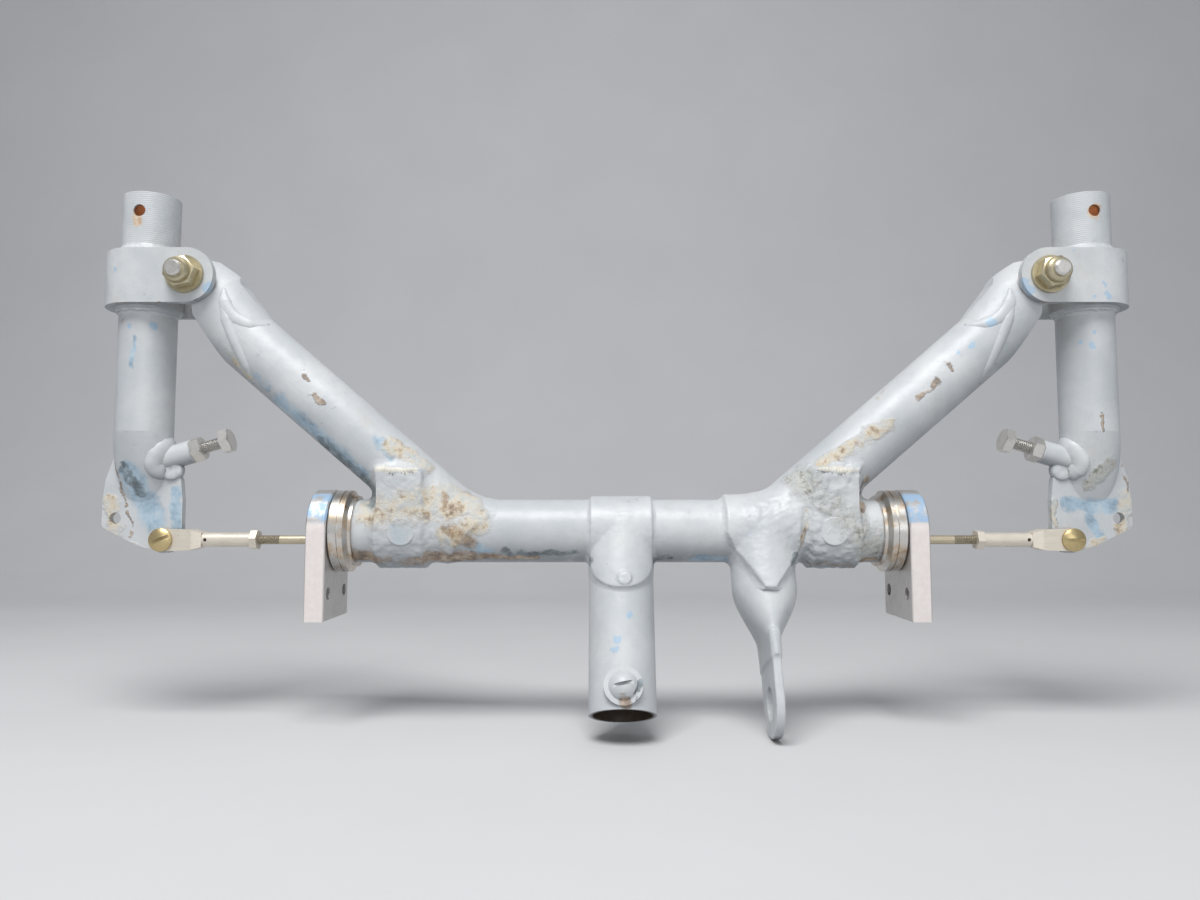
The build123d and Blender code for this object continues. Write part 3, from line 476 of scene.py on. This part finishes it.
def machined(name, light, shade, metallic, roughness, stretch, fine, relief, thread=None):
    """Bare metal: two tones in streaks along one direction, with a brushed relief, dull spots, and dirt
    with painted shade in corners and gaps.

    A thread is given as an axis, a pitch and the two places along the axis where it starts and ends.
    The axis is for the right half, and the left half mirrors it.
    """
    g = Graph(name)
    light, shade = linear(*light), linear(*shade)
    brushed = g.noise(fine, 4.0, 0.6, stretch=stretch)
    cloud = g.noise(7 * MM, 5.0, 0.6, shift=0.4)
    spots = g.ramp(g.noise(1.3 * MM, 3.0, 0.5, shift=1.7), 0.66, 0.74)
    tones = g.maths("ADD", g.maths("MULTIPLY", brushed, 0.6), g.maths("MULTIPLY", cloud, 0.4))
    colour = g.mix(tones, shade, light)
    colour = g.layer(colour, spots, 0.35, tuple(0.45 * c for c in shade[:3]) + (1.0,))
    rough = g.maths("ADD", g.maths("MULTIPLY", cloud, 0.25), roughness)
    rough = g.maths("ADD", rough, g.maths("MULTIPLY", spots, 0.2))
    # Painted shade: corners and gaps darkened to a brown dirt tone, from ambient occlusion
    crevice_dirt_and_shade = g.maths("MULTIPLY", g.crevices(2.5 * MM, 0.2, 0.65), g.ramp(cloud, 0.3, 0.6))
    colour = g.layer(colour, crevice_dirt_and_shade, 0.75, linear(72, 60, 48))
    rough = g.maths("ADD", rough, g.maths("MULTIPLY", crevice_dirt_and_shade, 0.4))
    normal = g.bump(brushed, relief, 0.6)
    if thread is not None:
        axis, pitch, first, last = thread
        outboard = g.vector("ABSOLUTE", g.place)
        run = g.vector("DOT_PRODUCT", outboard, axis)
        cut = g.maths("MULTIPLY", g.ramp(run, first, first + 0.2 * MM), g.ramp(run, last, last - 0.2 * MM))
        ridges = g.maths("SINE", g.maths("MULTIPLY", run, 2 * math.pi / pitch))
        normal = g.bump(g.maths("MULTIPLY", ridges, cut), 0.25 * MM, 1.0, normal)
    return g.surface(colour, metallic, rough, normal)


def block_aluminium():
    """Sawn and milled aluminium with traces of blue paint on the round top."""
    g = Graph("block_aluminium")
    brushed = g.noise(0.5 * MM, 4.0, 0.6, stretch=(3, 1, 0.15))
    cloud = g.noise(6 * MM, 5.0, 0.6, shift=0.4)
    scratch = g.ramp(g.noise(0.35 * MM, 2.0, 0.5, stretch=(0.2, 1.6, 1.0), shift=2.2), 0.62, 0.72)
    colour = g.mix(brushed, linear(176, 174, 172), linear(222, 220, 218))
    colour = g.layer(colour, g.ramp(cloud, 0.5, 0.7), 0.3, linear(186, 174, 172))
    colour = g.layer(colour, scratch, 0.3, linear(140, 138, 136))
    exact = g.split(g.place)
    loose = g.split(g.ragged(2.0 * MM, 4 * MM))
    front = g.ramp(exact["Y"], -16.1 * MM, -16.6 * MM)
    matte = g.mix(g.noise(2 * MM, 5.0, 0.6, shift=3.1), linear(206, 197, 195), linear(228, 221, 218))
    colour = g.mix(front, colour, matte)
    high = g.ramp(loose["Z"], 3 * MM, 4.5 * MM)
    forward = g.ramp(exact["Y"], -6 * MM, -9 * MM)
    painted = g.maths("MULTIPLY", g.maths("MULTIPLY", high, forward), g.ramp(cloud, 0.38, 0.56))
    colour = g.layer(colour, painted, 0.75, linear(128, 170, 206))
    metallic = g.maths("SUBTRACT", 0.8, g.maths("MULTIPLY", g.either([painted, front]), 0.7))
    rough = g.maths("ADD", g.maths("MULTIPLY", cloud, 0.2), 0.3)
    rough = g.maths("ADD", rough, g.maths("MULTIPLY", front, 0.2))
    normal = g.bump(brushed, 0.05 * MM, 0.6)
    return g.surface(colour, metallic, rough, normal)


def ring_steel():
    """Turned steel with lathe lines round the axis and straw and brown heat tint."""
    g = Graph("ring_steel")
    lines = g.add("ShaderNodeTexWave", wave_type="BANDS", bands_direction="X")
    g.feed(lines.inputs["Vector"], g.place)
    g.feed(lines.inputs["Scale"], 900.0)
    g.feed(lines.inputs["Distortion"], 1.5)
    tint = g.noise(6 * MM, 5.0, 0.6, shift=0.8)
    colour = g.mix(lines.outputs["Fac"], linear(188, 186, 182), linear(226, 224, 220))
    colour = g.layer(colour, g.ramp(tint, 0.42, 0.62), 0.6, linear(190, 160, 120))
    colour = g.layer(colour, g.ramp(tint, 0.6, 0.7), 0.7, linear(112, 82, 60))
    rough = g.maths("ADD", g.maths("MULTIPLY", tint, 0.3), 0.18)
    normal = g.bump(lines.outputs["Fac"], 0.03 * MM, 0.5)
    return g.surface(colour, 0.95, rough, normal)


# How far the streaks of bare metal are stretched along X
EVEN = (1, 1, 1)
ALONG_TURNED = (0.2, 1, 1)
ALONG_DRAWN = (0.15, 1, 1)

# Bare metals: light and dark tone, metallic, roughness, stretch, and the streaks' size and relief.
# The last three are for single nodes that differ from the rest of their slot.
METALS = {
    "bush_bronze": ((190, 150, 96), (120, 88, 54), 0.9, 0.28, ALONG_TURNED, 0.6 * MM, 0.03 * MM),
    "pin_brass": ((222, 204, 156), (166, 146, 104), 0.9, 0.24, EVEN, 0.8 * MM, 0.03 * MM),
    "cadmium_gold": ((212, 204, 176), (158, 146, 116), 0.85, 0.26, EVEN, 1.2 * MM, 0.03 * MM),
    "rod_steel": ((214, 208, 192), (158, 150, 132), 0.7, 0.3, ALONG_DRAWN, 0.6 * MM, 0.03 * MM),
    "bolt_steel": ((238, 236, 232), (176, 172, 166), 0.8, 0.2, EVEN, 0.9 * MM, 0.03 * MM),
    "stop_screw": ((238, 236, 232), (176, 172, 166), 0.8, 0.2, EVEN, 0.9 * MM, 0.03 * MM),
    "rod_screw": ((216, 206, 182), (162, 150, 126), 0.7, 0.3, ALONG_DRAWN, 0.6 * MM, 0.03 * MM),
    "fork_cream": ((230, 224, 212), (190, 180, 164), 0.35, 0.3, ALONG_DRAWN, 0.9 * MM, 0.04 * MM),
}
STOP_AXIS = (-math.cos(STOP_RISE), 0, math.sin(STOP_RISE))
THREADS = {
    "stop_screw": (STOP_AXIS, 0.8 * MM, -157 * MM, -144.2 * MM),
    "rod_screw": ((1, 0, 0), 0.7 * MM, 137 * MM, 190 * MM),
}

FINISHES = {
    "pale_paint": pale_paint(),
    "block_aluminium": block_aluminium(),
    "ring_steel": ring_steel(),
}
for name, look in METALS.items():
    FINISHES[name] = machined(name, *look, thread=THREADS.get(name))
SLOT_OF = {entry["node"]: entry["material_slot"] for entry in frame["record"]["subparts"]}

SINGLE = {"interconnect_rod": "rod_screw"}
for side in SIDES:
    SINGLE[f"{side}_stop_bolt"] = "stop_screw"
    SINGLE[f"{side}_fork"] = "fork_cream"
    SINGLE[f"{side}_fork_nut"] = "fork_cream"

for node, thing in frame["nodes"].items():
    thing.data.materials.clear()
    thing.data.materials.append(FINISHES[SINGLE.get(node, SLOT_OF[node])])


def shell(count, rim):
    """The faces of a tube made of count rings of rim points, without its ends."""
    faces = []
    for i in range(count - 1):
        here, there = i * rim, (i + 1) * rim
        for k in range(rim):
            n = (k + 1) % rim
            faces.append((here + k, here + n, there + n, there + k))
    return faces


def piece(name, points, faces, body):
    """A painted mesh piece made in the row frame, that rides on a CAD body."""
    mesh = bpy.data.meshes.new(name)
    mesh.from_pydata([tuple(p) for p in points], [], faces)
    mesh.validate()
    mesh.polygons.foreach_set("use_smooth", [True] * len(mesh.polygons))
    made = bpy.data.objects.new(name, mesh)
    bpy.context.collection.objects.link(made)
    mesh.materials.append(FINISHES["pale_paint"])
    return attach(made, body)


def bead(name, path, outward, width, height, body, closed=True, ripple=0.12, sunk=0.0):
    """A weld bead along a path: a low rounded ridge with the ripples of a hand weld.

    It can be sunk into the surface by a share of its height.
    """
    count = len(path)
    rim = 16
    points = []
    for i, (centre, up) in enumerate(zip(path, outward)):
        ahead = path[(i + 1) % count] if closed or i + 1 < count else centre
        behind = path[i - 1] if closed or i > 0 else centre
        along = (ahead - behind).normalized()
        up = (up - along * up.dot(along)).normalized()
        side = along.cross(up)
        end_fade = 1.0 if closed else min(1.0, 0.25 + 4 * min(i, count - 1 - i) / count)
        swell = end_fade * (1 + ripple * math.sin(i * 2.1) + random.uniform(-ripple, ripple))
        drift = side * random.uniform(-0.5, 0.5) * ripple * width
        for k in range(rim):
            angle = 2 * math.pi * k / rim
            offset = side * math.cos(angle) * width / 2 + up * (math.sin(angle) - sunk) * height
            points.append(centre + drift + offset * swell)
    last = (count - 1) * rim
    faces = shell(count, rim)
    if closed:
        faces += [(last + k, last + (k + 1) % rim, (k + 1) % rim, k) for k in range(rim)]
    else:
        faces.append(tuple(reversed(range(rim))))
        faces.append(tuple(range(last, last + rim)))
    piece(name, points, faces, body)


def arm_root(side):
    """The arm's axis direction and its foot on the torque axis."""
    x = abs(PIVOT[side]) + PIVOT_OFFSET * math.sin(ARM_RISE)
    z = PIVOT_HEIGHT - PIVOT_OFFSET * math.cos(ARM_RISE)
    sign = SIDES[side]
    along = Vector((sign * math.cos(ARM_RISE), 0, math.sin(ARM_RISE)))
    return Vector((sign * (x - z / math.tan(ARM_RISE)), 0, 0)), along


# How far the tongues of both saddles run down from the torque axis, in mm
SADDLE_TONGUE = 28.4


# Distance fields, in mm: negative inside a form. Welds are made where two of them flow together.
def rod_field(points, foot, along, radius, start=0.0, end=1000.0):
    """A round bar from start to end along its axis."""
    offset = points - np.array(foot)
    run = offset @ np.array(along)
    radial = np.linalg.norm(offset - run[..., None] * np.array(along), axis=-1) - radius
    return np.maximum(radial, np.maximum(start - run, run - end))


def box_field(points, low, high):
    """A box with its faces square to the axes."""
    centre = (np.array(low) + np.array(high)) / 2
    half = (np.array(high) - np.array(low)) / 2
    gap = np.abs(points - centre) - half
    return np.linalg.norm(np.maximum(gap, 0), axis=-1) + np.minimum(gap.max(axis=-1), 0)


def flow(a, b, reach):
    """The union of two forms, with a fillet of about the given reach between them."""
    near = np.maximum(reach - np.abs(a - b), 0) / reach
    return np.minimum(a, b) - near * near * reach / 4


def net(values, low, step):
    """The surface where the values change sign, as vertices and quads, one vertex in each crossed cell."""
    shape = np.array(values.shape)
    total = np.zeros((*(shape - 1), 3))
    hits = np.zeros(shape - 1)
    crossings = []
    for axis in range(3):
        first = [slice(None)] * 3
        second = [slice(None)] * 3
        first[axis] = slice(None, -1)
        second[axis] = slice(1, None)
        a, b = values[tuple(first)], values[tuple(second)]
        where = np.argwhere((a < 0) != (b < 0))
        others = [k for k in range(3) if k != axis]
        inner = (where[:, others[0]] > 0) & (where[:, others[1]] > 0)
        inner &= (where[:, others[0]] < shape[others[0]] - 1) & (where[:, others[1]] < shape[others[1]] - 1)
        where = where[inner]
        at = tuple(where.T)
        point = where.astype(float)
        point[:, axis] += a[at] / (a[at] - b[at])
        cells = []
        for back in ((0, 0), (1, 0), (1, 1), (0, 1)):
            cell = where.copy()
            cell[:, others[0]] -= back[0]
            cell[:, others[1]] -= back[1]
            cells.append(cell)
            np.add.at(total, tuple(cell.T), point)
            np.add.at(hits, tuple(cell.T), 1)
        crossings.append((cells, (a[at] < 0) != (axis == 1)))
    index = np.full(hits.shape, -1)
    index[hits > 0] = np.arange((hits > 0).sum())
    vertices = total[hits > 0] / hits[hits > 0][:, None] * step + np.array(low)
    quads = []
    for cells, forward in crossings:
        quad = np.stack([index[tuple(cell.T)] for cell in cells], axis=1)
        quads.append(np.where(forward[:, None], quad, quad[:, ::-1]))
    return vertices, np.concatenate(quads)


def sample(form, axes):
    """A form's distance at every point of a grid."""
    return form(np.stack(np.meshgrid(*axes, indexing="ij"), axis=-1))


def weld_skin(name, blended, plain, low, high, body, step=0.6, lumps=0.35, lump_size=3.0, sink=0.07):
    """Weld metal that fills the corners between forms. It shows only where it stands proud of them."""
    axes = [np.arange(a, b, step) for a, b in zip(low, high)]
    vertices, quads = net(sample(blended, axes) + sink, low, step)
    proud = plain(vertices)
    used = (proud[quads] > -sink * 0.6).any(axis=1)
    quads = quads[used]
    kept = np.unique(quads)
    renumber = np.full(len(vertices), -1)
    renumber[kept] = np.arange(len(kept))
    vertices, proud = vertices[kept], proud[kept]
    nudge = 0.05
    slope = [blended(vertices + nudge * axis) - blended(vertices - nudge * axis) for axis in np.eye(3)]
    normals = np.stack(slope, axis=-1)
    normals /= np.maximum(np.linalg.norm(normals, axis=-1, keepdims=True), 1e-9)
    height = []
    for v in vertices:
        coarse = noise.noise(Vector(v) / lump_size)
        fine = noise.noise(Vector(v) * 2.3 / lump_size)
        height.append(coarse + 0.5 * fine)
    share = np.clip(proud / 0.5, 0, 1)
    vertices = vertices + normals * (np.array(height) * lumps * share)[:, None]
    piece(name, vertices * MM, renumber[quads].tolist(), body)


def root_fields(side):
    """The forms that meet at an arm's root: torque tube, arm and root strap."""
    foot, along = arm_root(side)
    sign = SIDES[side]
    radius = TUBE_RADIUS / MM
    strap_low, strap_high = (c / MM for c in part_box(f"{side}_root_strap"))
    wall = strap_high.y - radius

    def tube(p):
        return rod_field(p, (0, 0, 0), (sign, 0, 0), radius, -400, TUBE_END / MM)

    def arm(p):
        return rod_field(p, foot / MM, along, radius)

    def strap(p):
        legs = box_field(p, (strap_low.x, strap_low.y, 0), (strap_high.x, strap_high.y, strap_high.z))
        centre = (strap_low.x + strap_high.x) / 2
        reach = (strap_high.x - strap_low.x) / 2
        bend = rod_field(p, (centre, 0, 0), (1, 0, 0), radius + wall, -reach, reach)
        return np.minimum(legs, bend)

    return tube, arm, strap


def arm_root_weld(side, lumps):
    """The lumpy weld that runs the arm, the strap and the torque tube together."""
    tube, arm, strap = root_fields(side)
    sign = SIDES[side]

    def plain(p):
        return np.minimum(np.minimum(tube(p), arm(p)), strap(p))

    def blended(p):
        return flow(flow(tube(p), arm(p), 7.0), strap(p), 6.0)

    inboard, outboard = 34.0, 118.0
    near, far = sorted((sign * inboard, sign * outboard))
    weld_skin(
        f"{side}_root_weld", blended, plain, (near, -17, -17), (far, 17, 62), "torque_shaft",
        lumps=lumps,
    )


def down_tube_weld():
    """The down-tube's saddle, softened where it meets the two tubes."""
    radius = TUBE_RADIUS / MM
    centre = DOWN_X / MM
    low, high = (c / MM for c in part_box("down_tube_saddle"))
    wall = high.z - radius
    half = (high.x - low.x) / 2
    tongue = SADDLE_TONGUE

    def tube(p):
        return rod_field(p, (0, 0, 0), ACROSS, radius, -400, 400)

    def down(p):
        return rod_field(p, (centre, 0, 0), DOWN, radius)

    def saddle(p):
        wrap = rod_field(p, (centre, 0, 0), ACROSS, radius + wall, -half, half)
        skirt = rod_field(p, (centre, 0, 0), DOWN, radius + wall, 0, tongue)
        run = p @ np.array(DOWN)
        wide = np.abs(p[..., 0] - centre) - half
        rounded = np.hypot(p[..., 0] - centre, run - tongue + half) - half
        outline = np.where(run < tongue - half, wide, rounded)
        return np.maximum(np.minimum(wrap, skirt), outline)

    # A small round weld on the tongue, just above its tip
    button_radius, button_drop, button_rise = 2.7, 25.0, 0.7
    button = Vector((centre + 1.0, 0, 0)) + DOWN * button_drop
    button_top = radius + wall + button_rise

    def plain(p):
        return np.minimum(np.minimum(tube(p), down(p)), saddle(p))

    def blended(p):
        welded = flow(flow(tube(p), down(p), 3.0), saddle(p), 2.6)
        return flow(welded, rod_field(p, button, FRONT, button_radius, 0, button_top), 0.8)

    weld_skin(
        "down_tube_weld", blended, plain, (-18, -30, -36), (21, 18, 17), "torque_shaft",
        step=0.5, lumps=0.22,
    )


def horn_weld():
    """The horn's saddle, run together with the torque tube, the stub and the right arm's root."""
    radius = TUBE_RADIUS / MM
    centre = HORN_X / MM
    low, high = (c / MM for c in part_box("horn_saddle"))
    tube, arm, _ = root_fields("right")
    wall = high.z - radius
    inboard, outboard = centre - low.x, high.x - centre
    tongue, corner, tip = SADDLE_TONGUE, radius / 2, 2.0
    straight_stub = 28.8

    def stub(p):
        return rod_field(p, (centre, 0, 0), DOWN, radius, 0, straight_stub)

    def saddle(p):
        wrap = rod_field(p, (centre, 0, 0), ACROSS, radius + wall, -inboard, outboard)
        skirt = rod_field(p, (centre, 0, 0), DOWN, radius + wall, 0, tongue)
        run = p @ np.array(DOWN)
        x = p[..., 0] - centre
        narrow = np.clip((run - corner) / (tongue - corner), 0, 1)
        left = -x - (inboard + (tip - inboard) * narrow)
        narrow = np.clip((run - radius) / (tongue - radius), 0, 1)
        right = x - (outboard + (tip - outboard) * narrow)
        return np.maximum(np.minimum(wrap, skirt), np.maximum(left, right))

    def plain(p):
        return np.minimum(np.minimum(tube(p), arm(p)), np.minimum(stub(p), saddle(p)))

    def blended(p):
        return flow(flow(flow(tube(p), arm(p), 7.0), stub(p), 3.0), saddle(p), 4.0)

    weld_skin(
        "horn_weld", blended, plain, (36, -30, -36), (78, 18, 32), "torque_shaft",
        step=0.55, lumps=0.25,
    )


def pressed_horn():
    """The elevator horn: a tube stub pressed smoothly into a flat plate with a round end and one hole."""
    radius = TUBE_RADIUS / MM
    centre = HORN_X / MM
    half_plate, half_width, edge = 1.7, 13.4, 0.6
    press_start, press_end, plate_start = 25.0, 54.0, 42.0
    length, hole_drop, hole_radius = 82.0, 69.5, 6.1
    round_centre = length - half_width
    step, margin = 0.5, 1.25

    def form(p):
        run = p @ np.array(DOWN)
        out = p @ np.array(FRONT)
        x = p[..., 0] - centre
        share = np.clip((run - press_start) / (press_end - press_start), 0, 1)
        share = share * share * (3 - 2 * share)
        half = radius + (half_plate - radius) * share
        wide = radius + (half_width - 0.2 - radius) * share
        tube = (np.hypot(x / half, out / wide) - 1) * half
        tube = np.maximum(tube, run - press_end)
        reach = np.where(run > round_centre, np.hypot(out, run - round_centre), np.abs(out))
        outline = reach - half_width
        outline = np.maximum(outline, plate_start + np.abs(out) * 0.25 - run)
        across = np.abs(x) - half_plate + edge
        inner = np.minimum(np.maximum(outline + edge, across), 0)
        plate = np.hypot(np.maximum(outline + edge, 0), np.maximum(across, 0)) + inner - edge
        whole = flow(tube, plate, 2.5)
        whole = np.maximum(whole, hole_radius - np.hypot(out, run - hole_drop))
        return np.maximum(whole, radius - 0.3 - np.hypot(p[..., 1], p[..., 2]))

    low, high = (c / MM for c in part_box("elevator_horn"))
    axes = [np.arange(a - margin, b + margin + step / 2, step) for a, b in zip(low, high)]
    vertices, quads = net(sample(form, axes), [axis[0] for axis in axes], step)
    made = piece("pressed_horn", vertices * MM, quads.tolist(), "torque_shaft")
    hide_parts("elevator_horn")


def stick_welds(side):
    """Fillets above and below the collar."""
    centre = STICK_X[side] / MM
    radius = STICK_RADIUS / MM
    low, high = (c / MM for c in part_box(f"{side}_stick_sleeve"))
    rim = (high.x - low.x) / 2 - 1.0

    def stick(p):
        return rod_field(p, (centre, 0, 0), (0, 0, 1), radius, 44, 400)

    def sleeve(p):
        return rod_field(p, (centre, 0, 0), (0, 0, 1), rim, low.z, high.z)

    def plain(p):
        return np.minimum(stick(p), sleeve(p))

    def blended(p):
        return flow(stick(p), sleeve(p), 2.6)

    for place, height in (("upper", high.z), ("lower", low.z)):
        corner_low = (centre - 15, -15, height - 4)
        corner_high = (centre + 15, 15, height + 4)
        weld_skin(
            f"{side}_collar_{place}_weld", blended, plain, corner_low, corner_high, f"{side}_stick",
            step=0.4, lumps=0.3, lump_size=2.0, sink=0.05,
        )


def surface_of(node):
    """A CAD node's surface, ready for lines to be cast at it."""
    mesh = frame["nodes"][node].data
    return BVHTree.FromPolygons([v.co for v in mesh.vertices], [tuple(p.vertices) for p in mesh.polygons])


def surface_under(surface, start, along):
    """Where a line from start, in mm, first meets the surface, and the surface's normal there."""
    place, normal, _, _ = surface.ray_cast(start * MM, along)
    return place, normal


def stop_weld(side, lumps):
    """The fillet round the stop boss, with the round plug weld in front of its foot."""
    sign = SIDES[side]
    stick = surface_of(f"{side}_stick_tube")
    centre = STICK_X[side] / MM
    boss_foot = 26.3
    ring_radius, ring_points, clear = 5.4, 40, 40
    foot = Vector((centre, 0, boss_foot))
    along = Vector((-sign * math.cos(STOP_RISE), 0, math.sin(STOP_RISE)))
    across = Vector((0, 1, 0))
    up = along.cross(across)
    path, outward = [], []
    for i in range(ring_points):
        angle = 2 * math.pi * i / ring_points
        radial = across * math.cos(angle) + up * math.sin(angle)
        place, normal = surface_under(stick, foot + along * clear + radial * ring_radius, -along)
        path.append(place)
        outward.append(normal + radial * 0.3 + along * 0.7)
    bead(f"{side}_stop_weld", path, outward, 8.4 * MM, 2.6 * MM, f"{side}_stick", ripple=0.035, sunk=0.5)

    plug_inboard, plug_height = 12.7, 24.6
    start = Vector((centre - sign * plug_inboard, -clear, plug_height))
    place, normal = surface_under(stick, start, across)
    normal = (normal * 0.4 + Vector((0, -1, 0)) * 0.6).normalized()
    first = normal.orthogonal().normalized()
    second = normal.cross(first)
    # The plug's profile, as radius and height over the surface
    rings = ((4.3, -2.2), (4.25, 0.3), (4.0, 0.8), (3.4, 1.15), (2.3, 1.35), (1.1, 1.4))
    turn = 36
    points = []
    for radius, height in rings:
        for k in range(turn):
            angle = 2 * math.pi * k / turn
            spoke = first * math.cos(angle) + second * math.sin(angle)
            rough = lumps * noise.noise((spoke * radius + normal * height) / 1.6)
            points.append(place + (spoke * (radius + rough) + normal * (height + rough)) * MM)
    faces = shell(len(rings), turn)
    faces.append(tuple(range((len(rings) - 1) * turn, len(rings) * turn)))
    faces.append(tuple(reversed(range(turn))))
    piece(f"{side}_plug_weld", points, faces, f"{side}_stick")


# The seams on the arms' upper ends, in mm: places along and across the arm from the pivot
SEAM_POINTS = 48
LUG_FOOT = 32.0
LUG_NECK = 12.0
LUG_FOLD = ((13, 10.5), (23.6, 4.8), (35, 11.0))
LUG_SEAM = ((17, 5.0), (31.5, -3.0), (47, -11.0))


def lug_seam(name, side, places, face, width, height):
    """A smooth seam on the arm's upper end, through three places along and across it from the pivot."""
    sign = SIDES[side]
    radius = TUBE_RADIUS / MM
    offset = PIVOT_OFFSET / MM
    run = Vector((-sign * math.cos(ARM_RISE), 0, -math.sin(ARM_RISE)))
    rise = Vector((-sign * math.sin(ARM_RISE), 0, math.cos(ARM_RISE)))
    foot = Vector((PIVOT[side] / MM, 0, PIVOT_HEIGHT / MM)) - rise * offset
    path, outward = [], []
    for i in range(SEAM_POINTS):
        # A parabola through the three places. The arm's section grows towards the pivot by the swell,
        # and its middle rises as much.
        t = i / (SEAM_POINTS - 1)
        shares = ((1 - t) * (1 - 2 * t), 4 * t * (1 - t), t * (2 * t - 1))
        along = sum(share * place[0] for share, place in zip(shares, places))
        across = sum(share * place[1] for share, place in zip(shares, places))
        swell = offset / 2 * min(max((LUG_FOOT - along) / (LUG_FOOT - LUG_NECK), 0), 1)
        high = (across - swell) / (radius + swell)
        depth = face * radius * math.sqrt(max(1 - high * high, 0.02))
        path.append((foot + run * along + rise * across + Vector((0, depth, 0))) * MM)
        outward.append((rise * high / (radius + swell) + Vector((0, depth / radius**2, 0))).normalized())
    bead(
        name, path, outward, width * MM, height * MM, "torque_shaft",
        closed=False, ripple=0.015, sunk=0.62,
    )


def strap_ridges(side):
    """The weld runs that close the root strap's legs onto the arm, front and back."""
    low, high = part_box(f"{side}_root_strap")
    for face, y in (("front", low.y), ("back", high.y)):
        path = []
        for i in range(SEAM_POINTS):
            t = i / (SEAM_POINTS - 1)
            x = low.x + (high.x - low.x) * t
            path.append(Vector((x, y * 0.985, high.z + 0.4 * MM * math.sin(9 * t))))
        up = Vector((0, y, 0.5 * abs(y))).normalized()
        bead(
            f"{side}_strap_ridge_{face}", path, [up] * SEAM_POINTS, 3.0 * MM, 1.1 * MM, "torque_shaft",
            closed=False, ripple=0.18,
        )


# How lumpy these welds are, in mm
ROOT_LUMPS = {"left": 0.3, "right": 0.55}
PLUG_LUMPS = {"left": 0.5, "right": 0.2}

for side in SIDES:
    arm_root_weld(side, ROOT_LUMPS[side])
    stick_welds(side)
    stop_weld(side, PLUG_LUMPS[side])
    strap_ridges(side)
    for face_name, face in (("front", -1), ("back", 1)):
        lug_seam(f"{side}_lug_fold_{face_name}", side, LUG_FOLD, face, 6.0, 1.7)
        lug_seam(f"{side}_lug_seam_{face_name}", side, LUG_SEAM, face, 5.0, 2.0)
down_tube_weld()
pressed_horn()
horn_weld()


def backdrop(level):
    """A pale floor that curves up into a wall behind the object."""
    width, front_edge, bend_start, bend_radius, top = 6.0, -3.0, 0.55, 0.5, 3.0
    bend_steps = 24
    profile = [(front_edge, level), (bend_start, level)]
    for i in range(1, bend_steps + 1):
        turn = math.pi / 2 * i / bend_steps
        rise = bend_radius * (1 - math.cos(turn))
        profile.append((bend_start + bend_radius * math.sin(turn), level + rise))
    profile.append((bend_start + bend_radius, level + top))
    points = [(x, y, z) for y, z in profile for x in (-width / 2, width / 2)]
    faces = [(2 * i, 2 * i + 1, 2 * i + 3, 2 * i + 2) for i in range(len(profile) - 1)]
    mesh = bpy.data.meshes.new("backdrop")
    mesh.from_pydata(points, [], faces)
    mesh.polygons.foreach_set("use_smooth", [True] * len(faces))
    made = bpy.data.objects.new("backdrop", mesh)
    bpy.context.collection.objects.link(made)
    g = Graph("backdrop_paper")
    tone = g.mix(g.noise(0.12, 3.0), linear(196, 196, 197), linear(204, 204, 205))
    mesh.materials.append(g.surface(tone, 0.0, 0.9, g.bump(g.noise(1.5 * MM, 3.0), 0.1 * MM, 0.2)))


backdrop(rest_low.z - 0.5 * MM)


def softbox(name, place, target, width, height, power):
    """A large rectangular light that points at a target."""
    data = bpy.data.lights.new(name, "AREA")
    data.shape = "RECTANGLE"
    data.size = width
    data.size_y = height
    data.energy = power
    made = bpy.data.objects.new(name, data)
    bpy.context.collection.objects.link(made)
    made.location = place
    made.rotation_mode = "QUATERNION"
    made.rotation_quaternion = (Vector(target) - Vector(place)).to_track_quat("-Z", "Y")


softbox("overhead_light", (-0.15, -0.55, 1.0), (0, 0, 0.02), 0.7, 0.5, 14.0)
softbox("front_light", (0.25, -1.4, 0.35), (0, 0, 0.02), 0.9, 0.6, 3.5)

world = bpy.data.worlds.new("studio")
world.use_nodes = True
world.node_tree.nodes["Background"].inputs["Color"].default_value = linear(214, 218, 224)
world.node_tree.nodes["Background"].inputs["Strength"].default_value = 0.5
bpy.context.scene.world = world

# Camera fitted to the photograph
camera_data = bpy.data.cameras.new("camera")
camera_data.sensor_width = 36.0
camera_data.lens = 27.0
camera_data.clip_start = 0.01
camera = bpy.data.objects.new("camera", camera_data)
bpy.context.collection.objects.link(camera)
camera.location = (-0.0069, -0.3684, 0.0051)
camera.rotation_euler = (math.radians(94.34), 0, 0)
bpy.context.scene.camera = camera
bpy.context.scene.view_settings.view_transform = "Standard"
